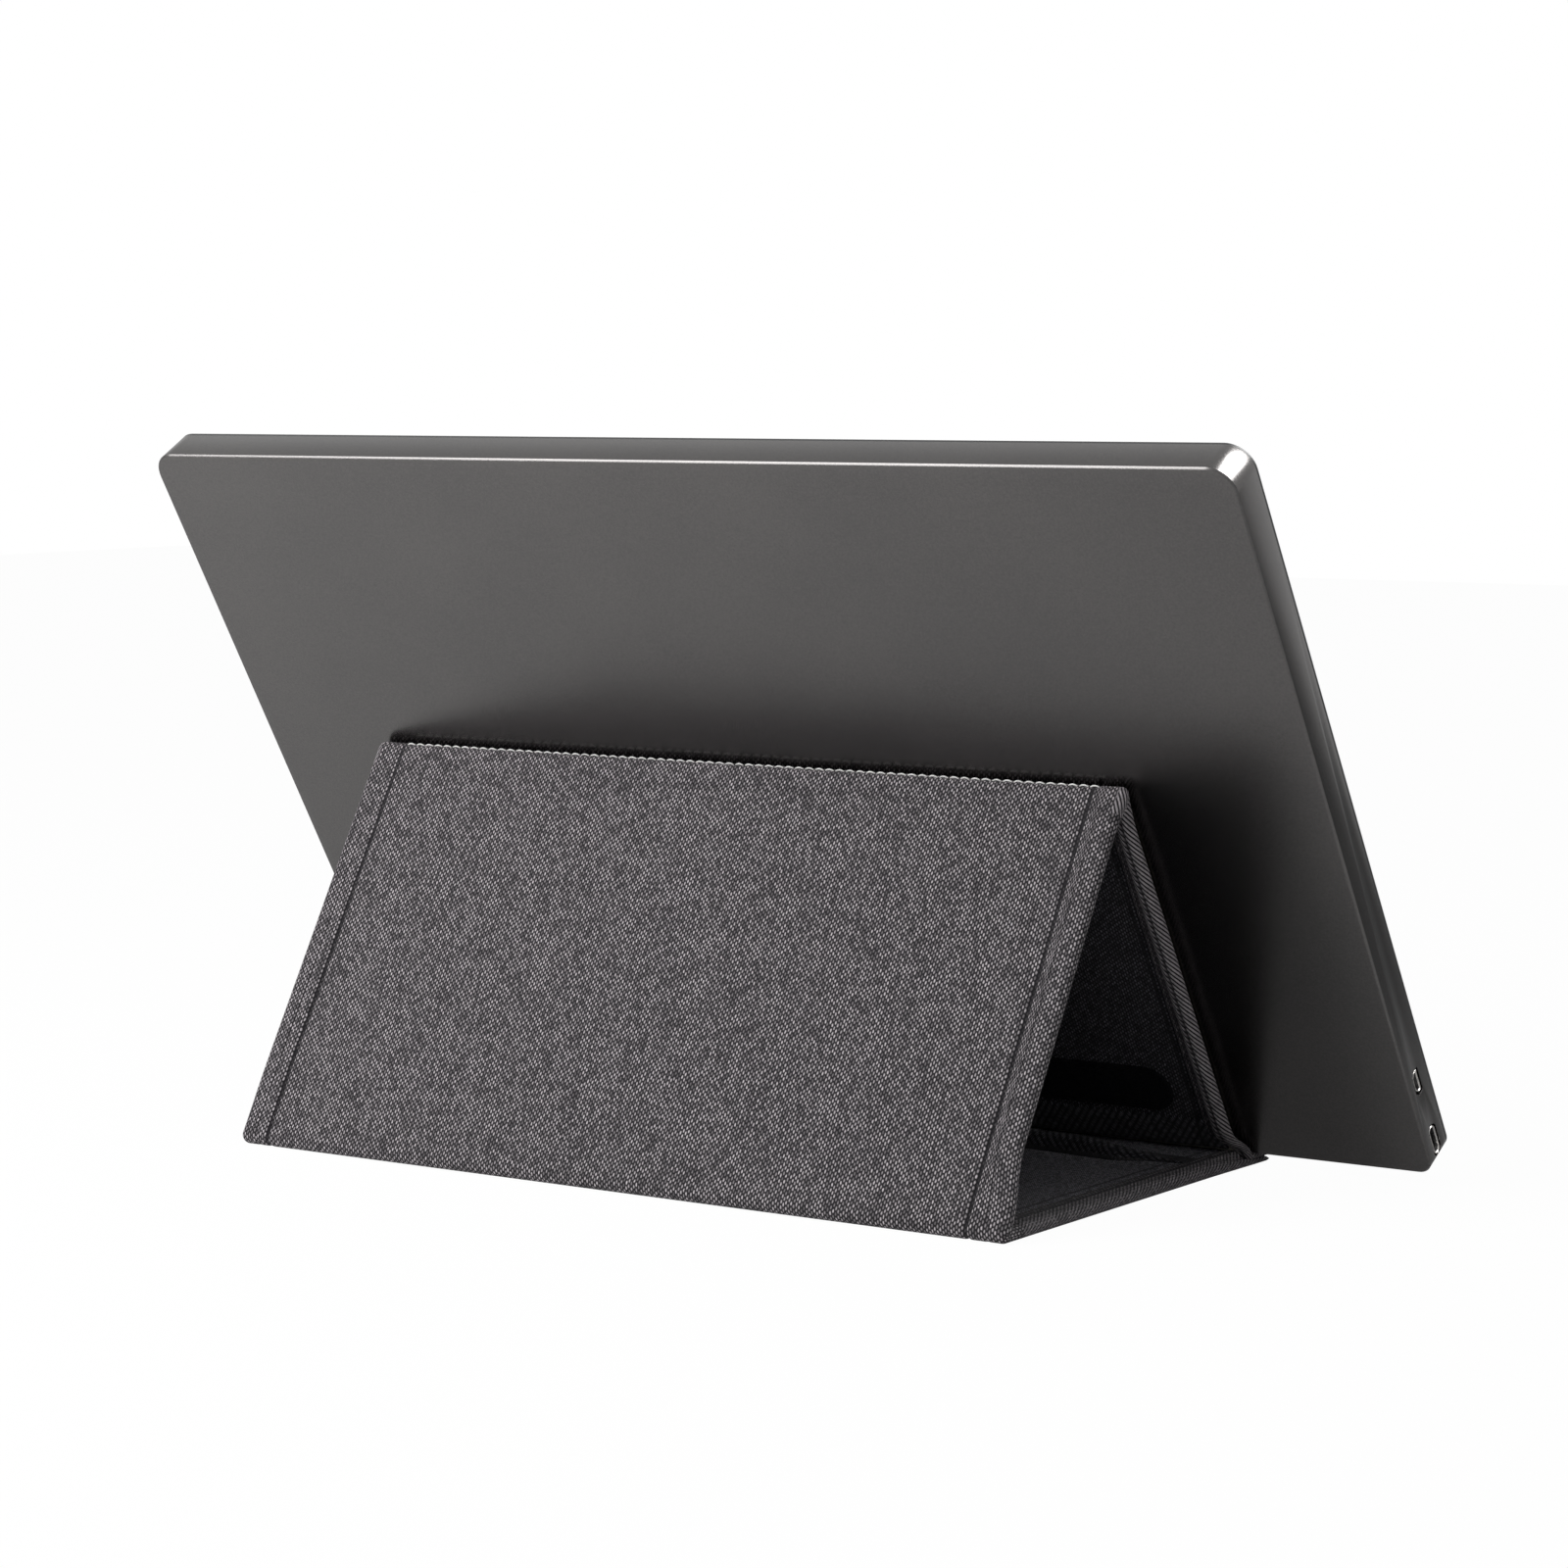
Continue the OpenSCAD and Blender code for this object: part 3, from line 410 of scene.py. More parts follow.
def cover_section(b, n):
    """A point of the folded cover in the plane across it: b goes along the outer cloth from
    the rear fold, and n goes in from the folds' axes."""
    corner = max(0, n)
    if b <= 0:
        return rear + onward(0) * min(b, -corner * math.tan(REAR_TURN / 2)) - outward(0) * n
    if b < BACK_START:
        if n > 0:
            return rear - onward(0) * n * math.tan(REAR_TURN / 2) - outward(0) * n
        return rear - outward(REAR_TURN * b / REAR_ARC) * n
    if b <= BACK_END:
        along = max(b - BACK_START, corner * math.tan(REAR_TURN / 2))
        along = min(along, back_run.length - corner * math.tan(APEX_TURN / 2))
        return rear + onward(REAR_TURN) * along - outward(REAR_TURN) * n
    if b < FRONT_START:
        if n > 0:
            return (apex - onward(REAR_TURN) * n * math.tan(APEX_TURN / 2)
                    - outward(REAR_TURN) * n)
        return apex - outward(REAR_TURN + APEX_TURN * (b - BACK_END) / APEX_ARC) * n
    along = max(b - FRONT_START, corner * math.tan(APEX_TURN / 2))
    return apex + onward(FRONT_TURN) * along - outward(FRONT_TURN) * n


def stations(*stretches):
    """Positions along a cloth from stretches of (start, end, steps), one after another."""
    places = []
    for start, end, steps in stretches:
        places += [start + (end - start) * i / steps for i in range(steps)]
    return places + [stretches[-1][1]]


def bent_cloth(name, across, along, bend, material, thick=CLOTH, inner=False):
    """A flat cut of cloth, laid out as a grid of stations in mm and bent into its place.
    Its weave follows its flat sizes, and its thickness goes in from the face that shows."""
    mesh = bmesh.new()
    weave = mesh.loops.layers.uv.new("weave")
    bmesh.ops.create_grid(mesh, x_segments=len(across) - 1, y_segments=len(along) - 1, size=1)
    flat = {}
    for corner in mesh.verts:
        column = round((corner.co.x + 1) / 2 * (len(across) - 1))
        row = round((corner.co.y + 1) / 2 * (len(along) - 1))
        flat[corner] = (across[column], along[row])
    for face in mesh.faces:
        for loop in face.loops:
            loop[weave].uv = Vector(flat[loop.vert]) * MM
    for corner, (a, b) in flat.items():
        corner.co = Vector(bend(a, b)) * MM
    bmesh.ops.remove_doubles(mesh, verts=mesh.verts, dist=4e-6)
    if not inner:
        bmesh.ops.reverse_faces(mesh, faces=mesh.faces)
    piece = add_piece(name, mesh, material, smooth=70)
    wall = piece.modifiers.new("cloth_thickness", "SOLIDIFY")
    wall.thickness = thick * MM
    wall.offset = -1
    return piece


def ripple(a, b, scale, height, seed):
    """The small unevenness of a cloth over its board."""
    return height * noise.noise(Vector((a / scale, b / scale, seed)))


def rolled_side(a, b, lift=0.0):
    """Across the outer cloth: flat over the board, round the side, and back as a flange."""
    side, reach = (1 if a > 0 else -1), abs(a)
    if reach <= BOARD_HALF:
        edge = HALF_WIDTH - reach
        seams = ((FAR_SEAM if a > 0 else NEAR_SEAM, 0.6, 0.90), (FAINT_SEAM, 0.5, 0.35))
        puff = lift * ease(13.5, 9.0, edge) * ease(2.0, 5.0, edge)
        pull = sum(depth * math.exp(-((edge - at) / wide) ** 2) for at, wide, depth in seams)
        pull *= 0.9 + 0.2 * noise.noise(Vector((b / 4.0, side, 3.1)))
        return side * reach, -OUT - puff + pull * (0.35 + 0.65 * min(1, lift / 0.3))
    turn = (reach - BOARD_HALF) / ROLL
    if turn <= math.pi:
        return side * (BOARD_HALF + ROLL * math.sin(turn)), -OUT + ROLL * (1 - math.cos(turn))
    back = reach - BOARD_HALF - math.pi * ROLL
    pull = 0.5 * sum(math.exp(-((back - at) / wide) ** 2) for at, wide, shade in FLANGE_SEAMS)
    return side * (BOARD_HALF - back), -OUT + 2 * ROLL - pull - 0.4 * ease(5.4, FLANGE, back)


def both_ways(half):
    """Stations from the middle out to one side, repeated on the other side."""
    return [-a for a in reversed(half[1:])] + half


SEWN_BAND = 16
FLANGE_FROM = BOARD_HALF + math.pi * ROLL
outer_across = both_ways(stations(
    (0, HALF_WIDTH - SEWN_BAND, 52), (HALF_WIDTH - SEWN_BAND, BOARD_HALF, 34),
    (BOARD_HALF, FLANGE_FROM, 12), (FLANGE_FROM, FLANGE_FROM + FLANGE, 18)))
OUTER_CUT = outer_across[-1] - outer_across[0]

YARN = 0.83 * MM
YARN_FLOAT = 1.55 * MM
CHARCOAL = (0.012, 0.011, 0.013, 1)
PALE_YARN = (0.60, 0.55, 0.575, 1)
PALE_SHARE = 0.45
RIB_PITCH = 1.14 * MM
# Each seam line, with the share by which the cloth's colour is darkened there: painted shade in
# its groove.
PAINTED_SEAM_SHADE = [(HALF_WIDTH - FAR_SEAM, 0.93), (NEAR_SEAM - HALF_WIDTH, 0.93),
         (FAINT_SEAM - HALF_WIDTH, 0.4)]
PAINTED_SEAM_SHADE += [(side * (FLANGE_FROM + at), shade) for at, wide, shade in FLANGE_SEAMS
          for side in (1, -1)]


def heather(name, dark, pale, share, yarn=YARN, float_length=YARN_FLOAT, lean=0.48, tilt=0.0,
            twist_and_light=0.0):
    """A heather twill: each yarn shows as a row of short floats, stepped from its neighbour's,
    and the fibres' dye makes some of them pale. A rolled side shows it as ribs, by twist,
    with painted highlight on their crests, painted shade between them and painted light over the
    side."""
    material, wire, shader = new_material(name, {"Roughness": 0.92, "Specular IOR Level": 0.15,
                                                 "Sheen Weight": 0.05, "Sheen Roughness": 0.5})
    uv = wire.node("UVMap", {"uv_map": "weave"})
    a = wire.node("SeparateXYZ", inputs={"Vector": uv}, output="X")
    b = wire.node("SeparateXYZ", inputs={"Vector": uv}, output="Y")
    wander = grain(uv, 420, 2) - 0.5
    fray = grain(uv, 2300, 2) - 0.5
    across = (a + b * tilt) / yarn + wander * 0.4 + fray * 0.30
    column = across.maths("FLOOR", across)
    slip = wire.node("TexWhiteNoise", {"noise_dimensions": "1D"}, {"W": column}, "Value")
    along = b / float_length + column * lean + slip * 0.12 + fray * 0.4
    row = along.maths("FLOOR", along)
    cell = wire.node("CombineXYZ", inputs={"X": column, "Y": row, "Z": 0.5})
    chance = wire.node("TexWhiteNoise", inputs={"Vector": cell}, output="Value")
    in_yarn = (across - column) * math.pi
    in_float = (along - row) * math.pi
    crown = in_yarn.maths("SINE", in_yarn) * in_float.maths(
        "POWER", in_float.maths("SINE", in_float), 0.8)
    blotch = grain(uv, 130, 3)
    streak = grain(wire.node("Mapping", inputs={"Vector": uv, "Scale": (1, 0.12, 1)}), 900, 2)
    doubt = chance + (blotch - 0.5) * 0.25 + (streak - 0.5) * 0.15
    pale_dye = 0.04 + 0.96 * doubt.between(0.1 - share, 1.65 - share)
    fibre = grain(uv, 7000, 2)
    body = crown.between(0.35, 0.98)
    shade = (0.05 + 0.95 * pale_dye) * (0.02 + 0.98 * body) * (0.45 + 1.1 * fibre)
    reach = a.maths("ABSOLUTE", a)
    on_roll = reach.between((BOARD_HALF - 0.6) * MM, (BOARD_HALF + 0.9) * MM)
    slant = (reach + b * 0.6) / RIB_PITCH + fray * 0.2
    wave = slant.maths("SINE", slant * (2 * math.pi)) * 0.5 + 0.5
    rib = wave.between(0.1, 0.8)
    on_lining = reach.between((FLANGE_FROM + 3.0) * MM, (FLANGE_FROM + 3.4) * MM)
    # The rope's colour is painted light and shade: bright rib crests are painted highlight, the
    # grooves painted shade, and the whole rolled side is painted lighter as light on the edge.
    rope = on_roll * (1 - on_lining) * twist_and_light
    shade = shade * (1 - rope) + rope * rib * (0.12 + 1.1 * fibre * (0.5 + 0.5 * pale_dye))
    shade = shade * (1 - 0.5 * on_lining)
    # Painted shade: the colour darkens along each seam's groove.
    for seam, painted_shade in PAINTED_SEAM_SHADE:
        off = a.maths("ABSOLUTE", a - seam * MM)
        shade = shade * (1 - painted_shade + painted_shade * off.between(0.0001, 0.0008))
    shade.maths("MINIMUM", shade, 1.0).tint(dark, pale).into(shader, "Base Color")
    height = crown * (0.5 + 0.3 * pale_dye) * (1 - 0.6 * rope) + rope * rib * 1.3
    bump(height + 0.25 * fibre, 0.00034, 0.9).into(shader, "Normal")
    return material


outer_heather = heather("outer_heather", CHARCOAL, PALE_YARN, PALE_SHARE)
corded_heather = heather("corded_heather", CHARCOAL, PALE_YARN, PALE_SHARE, twist_and_light=1.0)
faint_corded_heather = heather("faint_corded_heather", CHARCOAL, PALE_YARN, PALE_SHARE, twist_and_light=0.6)


LIP_SHARE = 0.4
BOARD_THINS = (-59.2, -62.6)
SIDE_THINS = (-34, -66)


def taper(y, u):
    """How much of its thickness the base keeps towards the thin lip under the monitor."""
    over_board = 1 - (1 - LIP_SHARE) * ease(*BOARD_THINS, y)
    beside_board = 1 - (1 - LIP_SHARE) * ease(*SIDE_THINS, y)
    beside = ease(124.6, 127, abs(u))
    return over_board + (beside_board - over_board) * beside


LIP_END = -69.6
NOSE = 0.85


def base_point(u, y, n):
    """A point of the base, n over its axis height, thinned and rounded at the lip."""
    height = (n + OUT) * taper(y, u)
    middle = ROLL * taper(y, u)
    into_nose = max(0, (LIP_END + NOSE - y) / NOSE)
    height = middle + (height - middle) * math.sqrt(max(0, 1 - into_nose * into_nose))
    return Vector((COVER_MIDDLE + u, y, height))


def outer_base(a, b):
    u, n = rolled_side(a, b)
    y = rear.x + b
    sag = 0.16 + ripple(a, b, 14, 0.12, 1.3) if abs(a) < BOARD_HALF else 0.0
    return base_point(u, y, n + max(0, sag) * ease(BOARD_HALF, HALF_WIDTH - 9, abs(u)))


base_along = stations(
    (LIP_END - rear.x, LIP_END - rear.x + NOSE, 6), (LIP_END - rear.x + NOSE, -125, 6),
    (-125, -SEAM_FROM_FOLD, 52))
base_cloth = bent_cloth("base_outer_cloth", outer_across, base_along, outer_base,
                        faint_corded_heather)
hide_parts("base_outer_fabric", "base_bindings", "closure_lip")
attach(base_cloth, "base")
OUTER_CUT * MM
(base_along[-1] - base_along[0]) * MM


def below_fold(b):
    """How far down the back a place is, from 0 at the top fold to 1 at the rear fold."""
    return min(1, max(0, (BACK_END - b) / back_run.length))


BOW = 0.5
DRAWN_IN = 2.7
DRAWN_LESS_AT_FOLD = 0.7


def bulge(b):
    """How far the pouch's outer wall stands out from its board: it leaves the room that the
    monitor takes when the top fold is laid flat."""
    return BOW * below_fold(b) ** 2 * ease(1, 0.8, below_fold(b))


def above_foot(down):
    """1 over the front panel and 0 at its foot."""
    return ease(123, 117, down)


def near_side(u):
    """1 at the cover's edge beside the two sockets, and 0 over its boards."""
    return ease(118, 124.5, -u)


def drawn_in(u, b):
    """How far the cover's edge beside the two sockets is drawn in."""
    amount = DRAWN_IN * ease(BACK_START + 2, BACK_START + 24, b)
    amount -= DRAWN_LESS_AT_FOLD * ease(9, 0, abs(b - BACK_END))
    return amount * above_foot(b - FRONT_START) * near_side(u)


NEAR_BOW_ENDS = (127.3, 129.3)
FAR_BOW_ENDS = (125.0, 128.5)


def outer_back(a, b):
    slack = min(1, 1.5 * below_fold(b)) * ease(2.2, 7, b)
    u, n = rolled_side(a, b, 0.32 * slack)
    calm = ease(BOARD_HALF, HALF_WIDTH - 8, abs(u)) if n < 0 else 0
    n -= calm * slack * (ripple(a, b, 9, 0.16, 5.2) + ripple(a, b, 31, 0.3, 2.2))
    thin = ease(6, 14, b - BACK_START) * ease(BACK_END - 4, BACK_END - 12, b)
    bow_ends = NEAR_BOW_ENDS if u < 0 else FAR_BOW_ENDS
    if abs(a) > BOARD_HALF:
        n = -OUT + (n + OUT) * (1 - 0.14 * thin)
    n -= bulge(b) * (1 if abs(a) < HALF_WIDTH - ROLL / 2 else ease(*bow_ends, abs(u)))
    u += drawn_in(u, b)
    y, z = cover_section(b, n)
    return COVER_MIDDLE + u, y, z


back_along = stations((-SEAM_FROM_FOLD, 0, 5), (0, REAR_ARC, 12),
                      (BACK_START, BACK_END - SEAM_FROM_FOLD, 66))
back_cloth = bent_cloth("back_outer_cloth", outer_across, back_along, outer_back, outer_heather)
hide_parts("back_outer_fabric", "back_bindings", "rear_fold")
OUTER_CUT * MM
(back_along[-1] - back_along[0]) * MM


def across_fold(piece):
    """Bakes the placement of a cloth that lies across a fold into its mesh, and puts it on no
    body.
    """
    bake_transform(piece)


across_fold(back_cloth)

# In front the outer cloth lies behind the monitor. At its foot it thins and turns forward,
# under the monitor's lower edge, on to the base's lip.
RIDGE = math.radians(167)
RIDGE_LINE = BACK_END + (RIDGE - REAR_TURN) * OUT
FIRST_STITCH = -112.2
STITCHES = 70
STITCH_PITCH = 3.4
STITCH = 2.7
FOOT = 124.65
FOOT_BEND = 0.5
FOOT_THINS = (112, 125)
TOE_END = 133.0
foot_turn = FRONT_TURN - math.pi
heel = apex + onward(FRONT_TURN) * FOOT + outward(FRONT_TURN) * (OUT + FOOT_BEND)


def on_front(down, n):
    """A point of the flat front panel, down from the top fold."""
    return apex + onward(FRONT_TURN) * down - outward(FRONT_TURN) * n


def round_heel(down, n, bend):
    """A point past the foot, where the cloth turns forward under the monitor. It takes bend
    of its length for each radian."""
    turn = FRONT_TURN - min(foot_turn, (down - FOOT) / bend)
    beyond = max(0, down - FOOT - foot_turn * bend)
    return heel - outward(turn) * (FOOT_BEND + OUT + n) + onward(turn) * beyond


def outer_front(a, b):
    u, n = rolled_side(a, b)
    down = b - FRONT_START
    calm = ease(BOARD_HALF, HALF_WIDTH - 8, abs(u)) if n < 0 else 0
    n += calm * ease(3, 12, down) * (0.1 + ripple(a, b, 12, 0.1, 8.4))
    n += ease(6, 2, abs(b - RIDGE_LINE)) * calm * (0.09 + ripple(a, b, 7, 0.12, 4.4))
    if FIRST_STITCH - STITCH < COVER_MIDDLE + u < FIRST_STITCH + STITCHES * STITCH_PITCH and n < 0:
        n += 0.38 * math.exp(-((b - RIDGE_LINE) / 0.75) ** 2)
    inset = ease(-4, 12, down) * above_foot(down)
    n += near_side(u) * inset * (0.75 + 0.8 * ease(124.2, 126.5, -u))
    u += drawn_in(u, b)
    keep = 1 - 0.62 * ease(*FOOT_THINS, down)
    n = -OUT + (n + OUT) * keep
    y, z = cover_section(b, n) if down <= FOOT else round_heel(down, n, FOOT_BEND)
    return COVER_MIDDLE + u, y, z


front_along = stations(
    (BACK_END - SEAM_FROM_FOLD, BACK_END, 5), (BACK_END, FRONT_START, 12),
    (FRONT_START, FRONT_START + 108, 54), (FRONT_START + 108, FRONT_START + FOOT, 14),
    (FRONT_START + FOOT, FRONT_START + FOOT + foot_turn * FOOT_BEND, 4),
    (FRONT_START + FOOT + foot_turn * FOOT_BEND, FRONT_START + TOE_END, 10))
front_cloth = bent_cloth("front_outer_cloth", outer_across, front_along, outer_front,
                         corded_heather)
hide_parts("front_outer_fabric", "front_bindings", "apex_fold")
OUTER_CUT * MM
(front_along[-1] - front_along[0]) * MM
across_fold(front_cloth)

# The lining is a darker twill of the same yarn, and its colours are darkened further with
# painted shade inside the pouch. It lies over the inner boards, with its sides tucked under the
# rolled edges. Over the base it is woven coarser and paler.
TUCK = 123.0
INSIDE = 1.3
inner_across = both_ways(stations((0, 112, 40), (112, TUCK, 12)))
INNER_CUT = inner_across[-1] - inner_across[0]
# The lining's own dark tone, darkened further as painted shade.
LINING_DARK_AND_SHADE = (0.004, 0.004, 0.005, 1)
LINING_PALE_AND_SHADE = (0.16, 0.155, 0.175, 1)
lining_heather = heather("lining_heather", LINING_DARK_AND_SHADE, LINING_PALE_AND_SHADE, PALE_SHARE,
                         yarn=0.85 * MM, float_length=1.3 * MM, lean=-0.48)


def tucked(a, b, seed):
    """The lining's height over the boards: it dips under the rolled edges."""
    return INSIDE - 0.2 * ease(117.5, 120.5, abs(a)) + ripple(a, b, 16, 0.08, seed)


def inner_base(a, b):
    return base_point(a, rear.x + b, tucked(a, b, 11.0))


def inner_cover(a, b):
    y, z = cover_section(b, tucked(a, b, 17.0) - 0.04)
    return COVER_MIDDLE + a, y, z


BEADED_DARK = (0.012, 0.011, 0.014, 1)
BEADED_PALE = (0.60, 0.58, 0.65, 1)
beaded_heather = heather("beaded_heather", BEADED_DARK, BEADED_PALE, 0.55, yarn=0.80 * MM,
                         float_length=0.95 * MM, lean=0.12)
base_lining = bent_cloth("base_lining", inner_across, base_along, inner_base, beaded_heather,
                         inner=True)
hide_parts("base_inner_fabric")
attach(base_lining, "base")
INNER_CUT * MM
(base_along[-1] - base_along[0]) * MM

INNER_REAR = 2.4
back_lining = bent_cloth(
    "back_lining", inner_across,
    stations((-SEAM_FROM_FOLD, -INNER_REAR, 4), (-INNER_REAR, BACK_START + INNER_REAR, 4),
             (BACK_START + INNER_REAR, BACK_END - SEAM_FROM_FOLD, 50)),
    inner_cover, lining_heather, inner=True)
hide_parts("back_inner_fabric")
INNER_CUT * MM
across_fold(back_lining)

LINING_FOOT = 120.0
front_lining = bent_cloth(
    "front_lining", inner_across,
    stations((BACK_END - SEAM_FROM_FOLD, BACK_END - INNER_REAR, 4),
             (BACK_END - INNER_REAR, FRONT_START + INNER_REAR, 4),
             (FRONT_START + INNER_REAR, FRONT_START + LINING_FOOT, 50)),
    inner_cover, lining_heather, inner=True)
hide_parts("front_inner_fabric")
INNER_CUT * MM
across_fold(front_lining)

# The pouch between the two layers of the front panel ends in the foot: a strip of the lining
# cloth covers the board's lower end and goes on under the toe.
FOOT_LINING = 17.0
FOOT_LINING_FROM = 118.2
FOOT_LINING_BEND = 1.4


def foot_lining(a, b):
    down = FOOT_LINING_FROM + b
    n = -0.42 - 1.35 * ease(121.4, 124.6, down)
    y, z = on_front(down, n) if down <= FOOT else round_heel(down, n, FOOT_LINING_BEND)
    return COVER_MIDDLE + a, y, z


foot_along = stations((0, 6.4, 10), (6.4, 8.0, 6), (8.0, FOOT_LINING, 5))
foot_strip = bent_cloth("foot_lining", inner_across, foot_along, foot_lining, lining_heather,
                        0.3, inner=True)
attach(foot_strip, "front_panel")
INNER_CUT * MM

# The pouch's mouth is finished by a hem: a doubled band of the lining, turned with its twill
# running steeper, and sewn along its upper edge.
HEM_FROM = 110.0
HEM_TO = 120.3
HEM_WIDE = HEM_TO - HEM_FROM
HEM_CREASE = 2.6
# The hem takes the lining's colours, with their painted shade.
hem_heather = heather("hem_heather", LINING_DARK_AND_SHADE, LINING_PALE_AND_SHADE, PALE_SHARE,
                      yarn=0.7 * MM, float_length=1.4 * MM, lean=0.7, tilt=0.9)


def mouth_hem(a, b):
    down = HEM_FROM + b
    rise = math.sqrt(max(0, 1 - abs(2 * b / HEM_WIDE - 1) ** 6))
    stitch = 0.28 * math.exp(-((b - 1.5) / 0.5) ** 2) * (0.6 + 0.4 * math.sin(a * 2.2))
    n = 1.18 + 0.92 * rise - stitch + ripple(a, b, 9, 0.14, 21.0)
    n -= 0.5 * ease(119.5, TUCK - 0.5, abs(a))
    y, z = on_front(down, n)
    return COVER_MIDDLE + a, y, z


hem = bent_cloth("mouth_hem_band", inner_across,
                 stations((0, HEM_CREASE, 10), (HEM_CREASE, HEM_WIDE, 16)),
                 mouth_hem, hem_heather, 0.5, inner=True)
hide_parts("mouth_hem")
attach(hem, "front_panel")
INNER_CUT * MM

# The loop patch is a long black strip of hook-and-loop, round at both ends, sewn to the
# front panel's lining near its border. Its pile is short and matt.
PATCH_HALF = 112.5
PATCH_R = 7.75
PATCH_MID = 100.75
PILE = 0.75
LOOP_BLACK = (0.004, 0.004, 0.005, 1)
LOOP_LIGHT = (0.030, 0.029, 0.032, 1)

loops, wire, shader = new_material("loop_pile", {"Roughness": 1.0, "Specular IOR Level": 0.1})
uv = wire.node("UVMap", {"uv_map": "weave"})
knots = wire.node("TexVoronoi", inputs={"Vector": uv, "Scale": 2100.0, "Randomness": 0.85},
                  output="Distance")
fluff = grain(uv, 5200, 3)
spots = (1 - knots.between(0.05, 0.42)) * fluff.between(0.46, 0.7)
spots.tint(LOOP_BLACK, LOOP_LIGHT).into(shader, "Base Color")
bump((1 - knots) + 0.4 * fluff, 0.00035).into(shader, "Normal")


def patch_point(a, b):
    end = PATCH_HALF - PATCH_R
    reach = end + math.sqrt(max(0, PATCH_R ** 2 - b * b))
    a = math.copysign(min(abs(a), end) + max(0, abs(a) - end) / PATCH_R * (reach - end), a)
    edge = PATCH_R - (math.hypot(abs(a) - end, b) if abs(a) > end else abs(b))
    n = INSIDE - 0.15 + PILE * math.sqrt(min(1, max(0, edge) / 0.6))
    n -= 0.3 * math.exp(-((edge - 1.7) / 0.45) ** 2)
    y, z = on_front(PATCH_MID + b, n)
    return COVER_MIDDLE + a, y, z


patch = bent_cloth("loop_patch_pile", both_ways(stations((0, 104, 30), (104, PATCH_HALF, 14))),
                   stations((-PATCH_R, -5.2, 10), (-5.2, 5.2, 8), (5.2, PATCH_R, 10)),
                   patch_point, loops, 0.4, inner=True)
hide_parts("loop_patch")
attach(patch, "front_panel")

# A ribbed black strip stands at the back of the base's sewn-on flap, on a foot that is sewn
# down under it. The flap's cloth curls over its top and runs out flat towards both sides.
STRIP_HALF = 112.5
STRIP_TALL = 3.5
STRIP_FOOT = 7.0
RIB = 1.1
BASE_TOP = 4.0
STRIP_BLACK = (0.004, 0.004, 0.0045, 1)
STRIP_SHEEN = (0.022, 0.021, 0.023, 1)
ribbed_black = grained("ribbed_black", STRIP_BLACK, STRIP_SHEEN, 3600,
                       {"Specular IOR Level": 0.3}, 0.00003, (0.55, 0.2))


def flap_line(a):
    """Where the strip's foot runs over the base, bowed forward at its middle."""
    return -33.4 + 5.2 * (min(abs(a), 102) / 102) ** 2 - 6.5 * ease(100, 121, abs(a))


def flap_height(a):
    """How high the flap stands, as a share: less towards its two ends."""
    return 1 - 0.45 * ease(92, 112, abs(a)) - 0.55 * ease(103, 122.5, abs(a))


def strip_point(a, b):
    rib = 0.5 + 0.5 * math.cos(2 * math.pi * a / RIB)
    border = ease(0.3, 0.9, b) * ease(STRIP_TALL - 0.1, STRIP_TALL - 0.5, b)
    end = ease(STRIP_HALF, STRIP_HALF - 1.6, abs(a))
    rise = flap_height(a)
    if b < 0:
        return COVER_MIDDLE + a, flap_line(a) + b + 0.2 * end, BASE_TOP + 0.2
    y = flap_line(a) - 0.25 * b + (0.34 * rib * border + 0.2) * end
    return COVER_MIDDLE + a, y, BASE_TOP + 0.2 + (b - 0.35) * rise * (0.35 + 0.65 * end)


strip = bent_cloth("ribbed_strip_band", stations((-STRIP_HALF, STRIP_HALF, 820)),
                   stations((-STRIP_FOOT, 0, 4), (0, STRIP_TALL, 9)), strip_point,
                   ribbed_black, 0.3)
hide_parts("ribbed_strip")
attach(strip, "base")

FLAP_PROFILE = ((0.0, 0.55), (0.35, 3.3), (0.15, 4.3), (-0.7, 5.0), (-2.0, 5.0), (-3.6, 4.1),
                (-6.0, 2.5), (-9.5, 1.1), (-13.5, 0.35), (-17.0, 0.1))
flap_lengths = [0.0]
for (y0, z0), (y1, z1) in zip(FLAP_PROFILE, FLAP_PROFILE[1:]):
    flap_lengths.append(flap_lengths[-1] + math.hypot(y1 - y0, z1 - z0))


def flap_point(a, b):
    for start, end, low, high in zip(flap_lengths, flap_lengths[1:], FLAP_PROFILE,
                                     FLAP_PROFILE[1:]):
        if b <= end + 1e-6:
            part = (b - start) / (end - start)
            break
    y = low[0] + (high[0] - low[0]) * part
    z = low[1] + (high[1] - low[1]) * part
    rise = flap_height(a)
    crease = ripple(a, b, 7, 0.3, 31.0) * rise
    return (COVER_MIDDLE + a, flap_line(a) - 0.5 + y * (0.4 + 0.6 * rise),
            BASE_TOP - 0.1 + z * rise + crease)


# The flap's cloth takes the hem's colours, with the lining's painted shade.
flap = bent_cloth("flap_cloth", both_ways(stations((0, 90, 36), (90, TUCK, 26))),
                  stations((flap_lengths[0], flap_lengths[1], 4),
                           (flap_lengths[1], flap_lengths[4], 10),
                           (flap_lengths[4], flap_lengths[-1] - 0.01, 16)),
                  flap_point, hem_heather, 0.4, inner=True)
flap.modifiers.new("soft_curl", "SUBSURF").levels = 1
flap.modifiers["soft_curl"].render_levels = 1
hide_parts("mouth_facing")
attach(flap, "base")

# The top fold is sewn through along its ridge with thick white thread: each stitch shows as
# a short arch that sinks into the cloth at both ends.
THREAD_R = 0.222
THREAD_ENDS = 0.74
THREAD_SIDES = 5
ARCH_HIGH = 0.36
ARCH_STEPS = 6
THREAD_WHITE = (0.86, 0.85, 0.83, 1)
THREAD_SHADE = (0.66, 0.65, 0.64, 1)

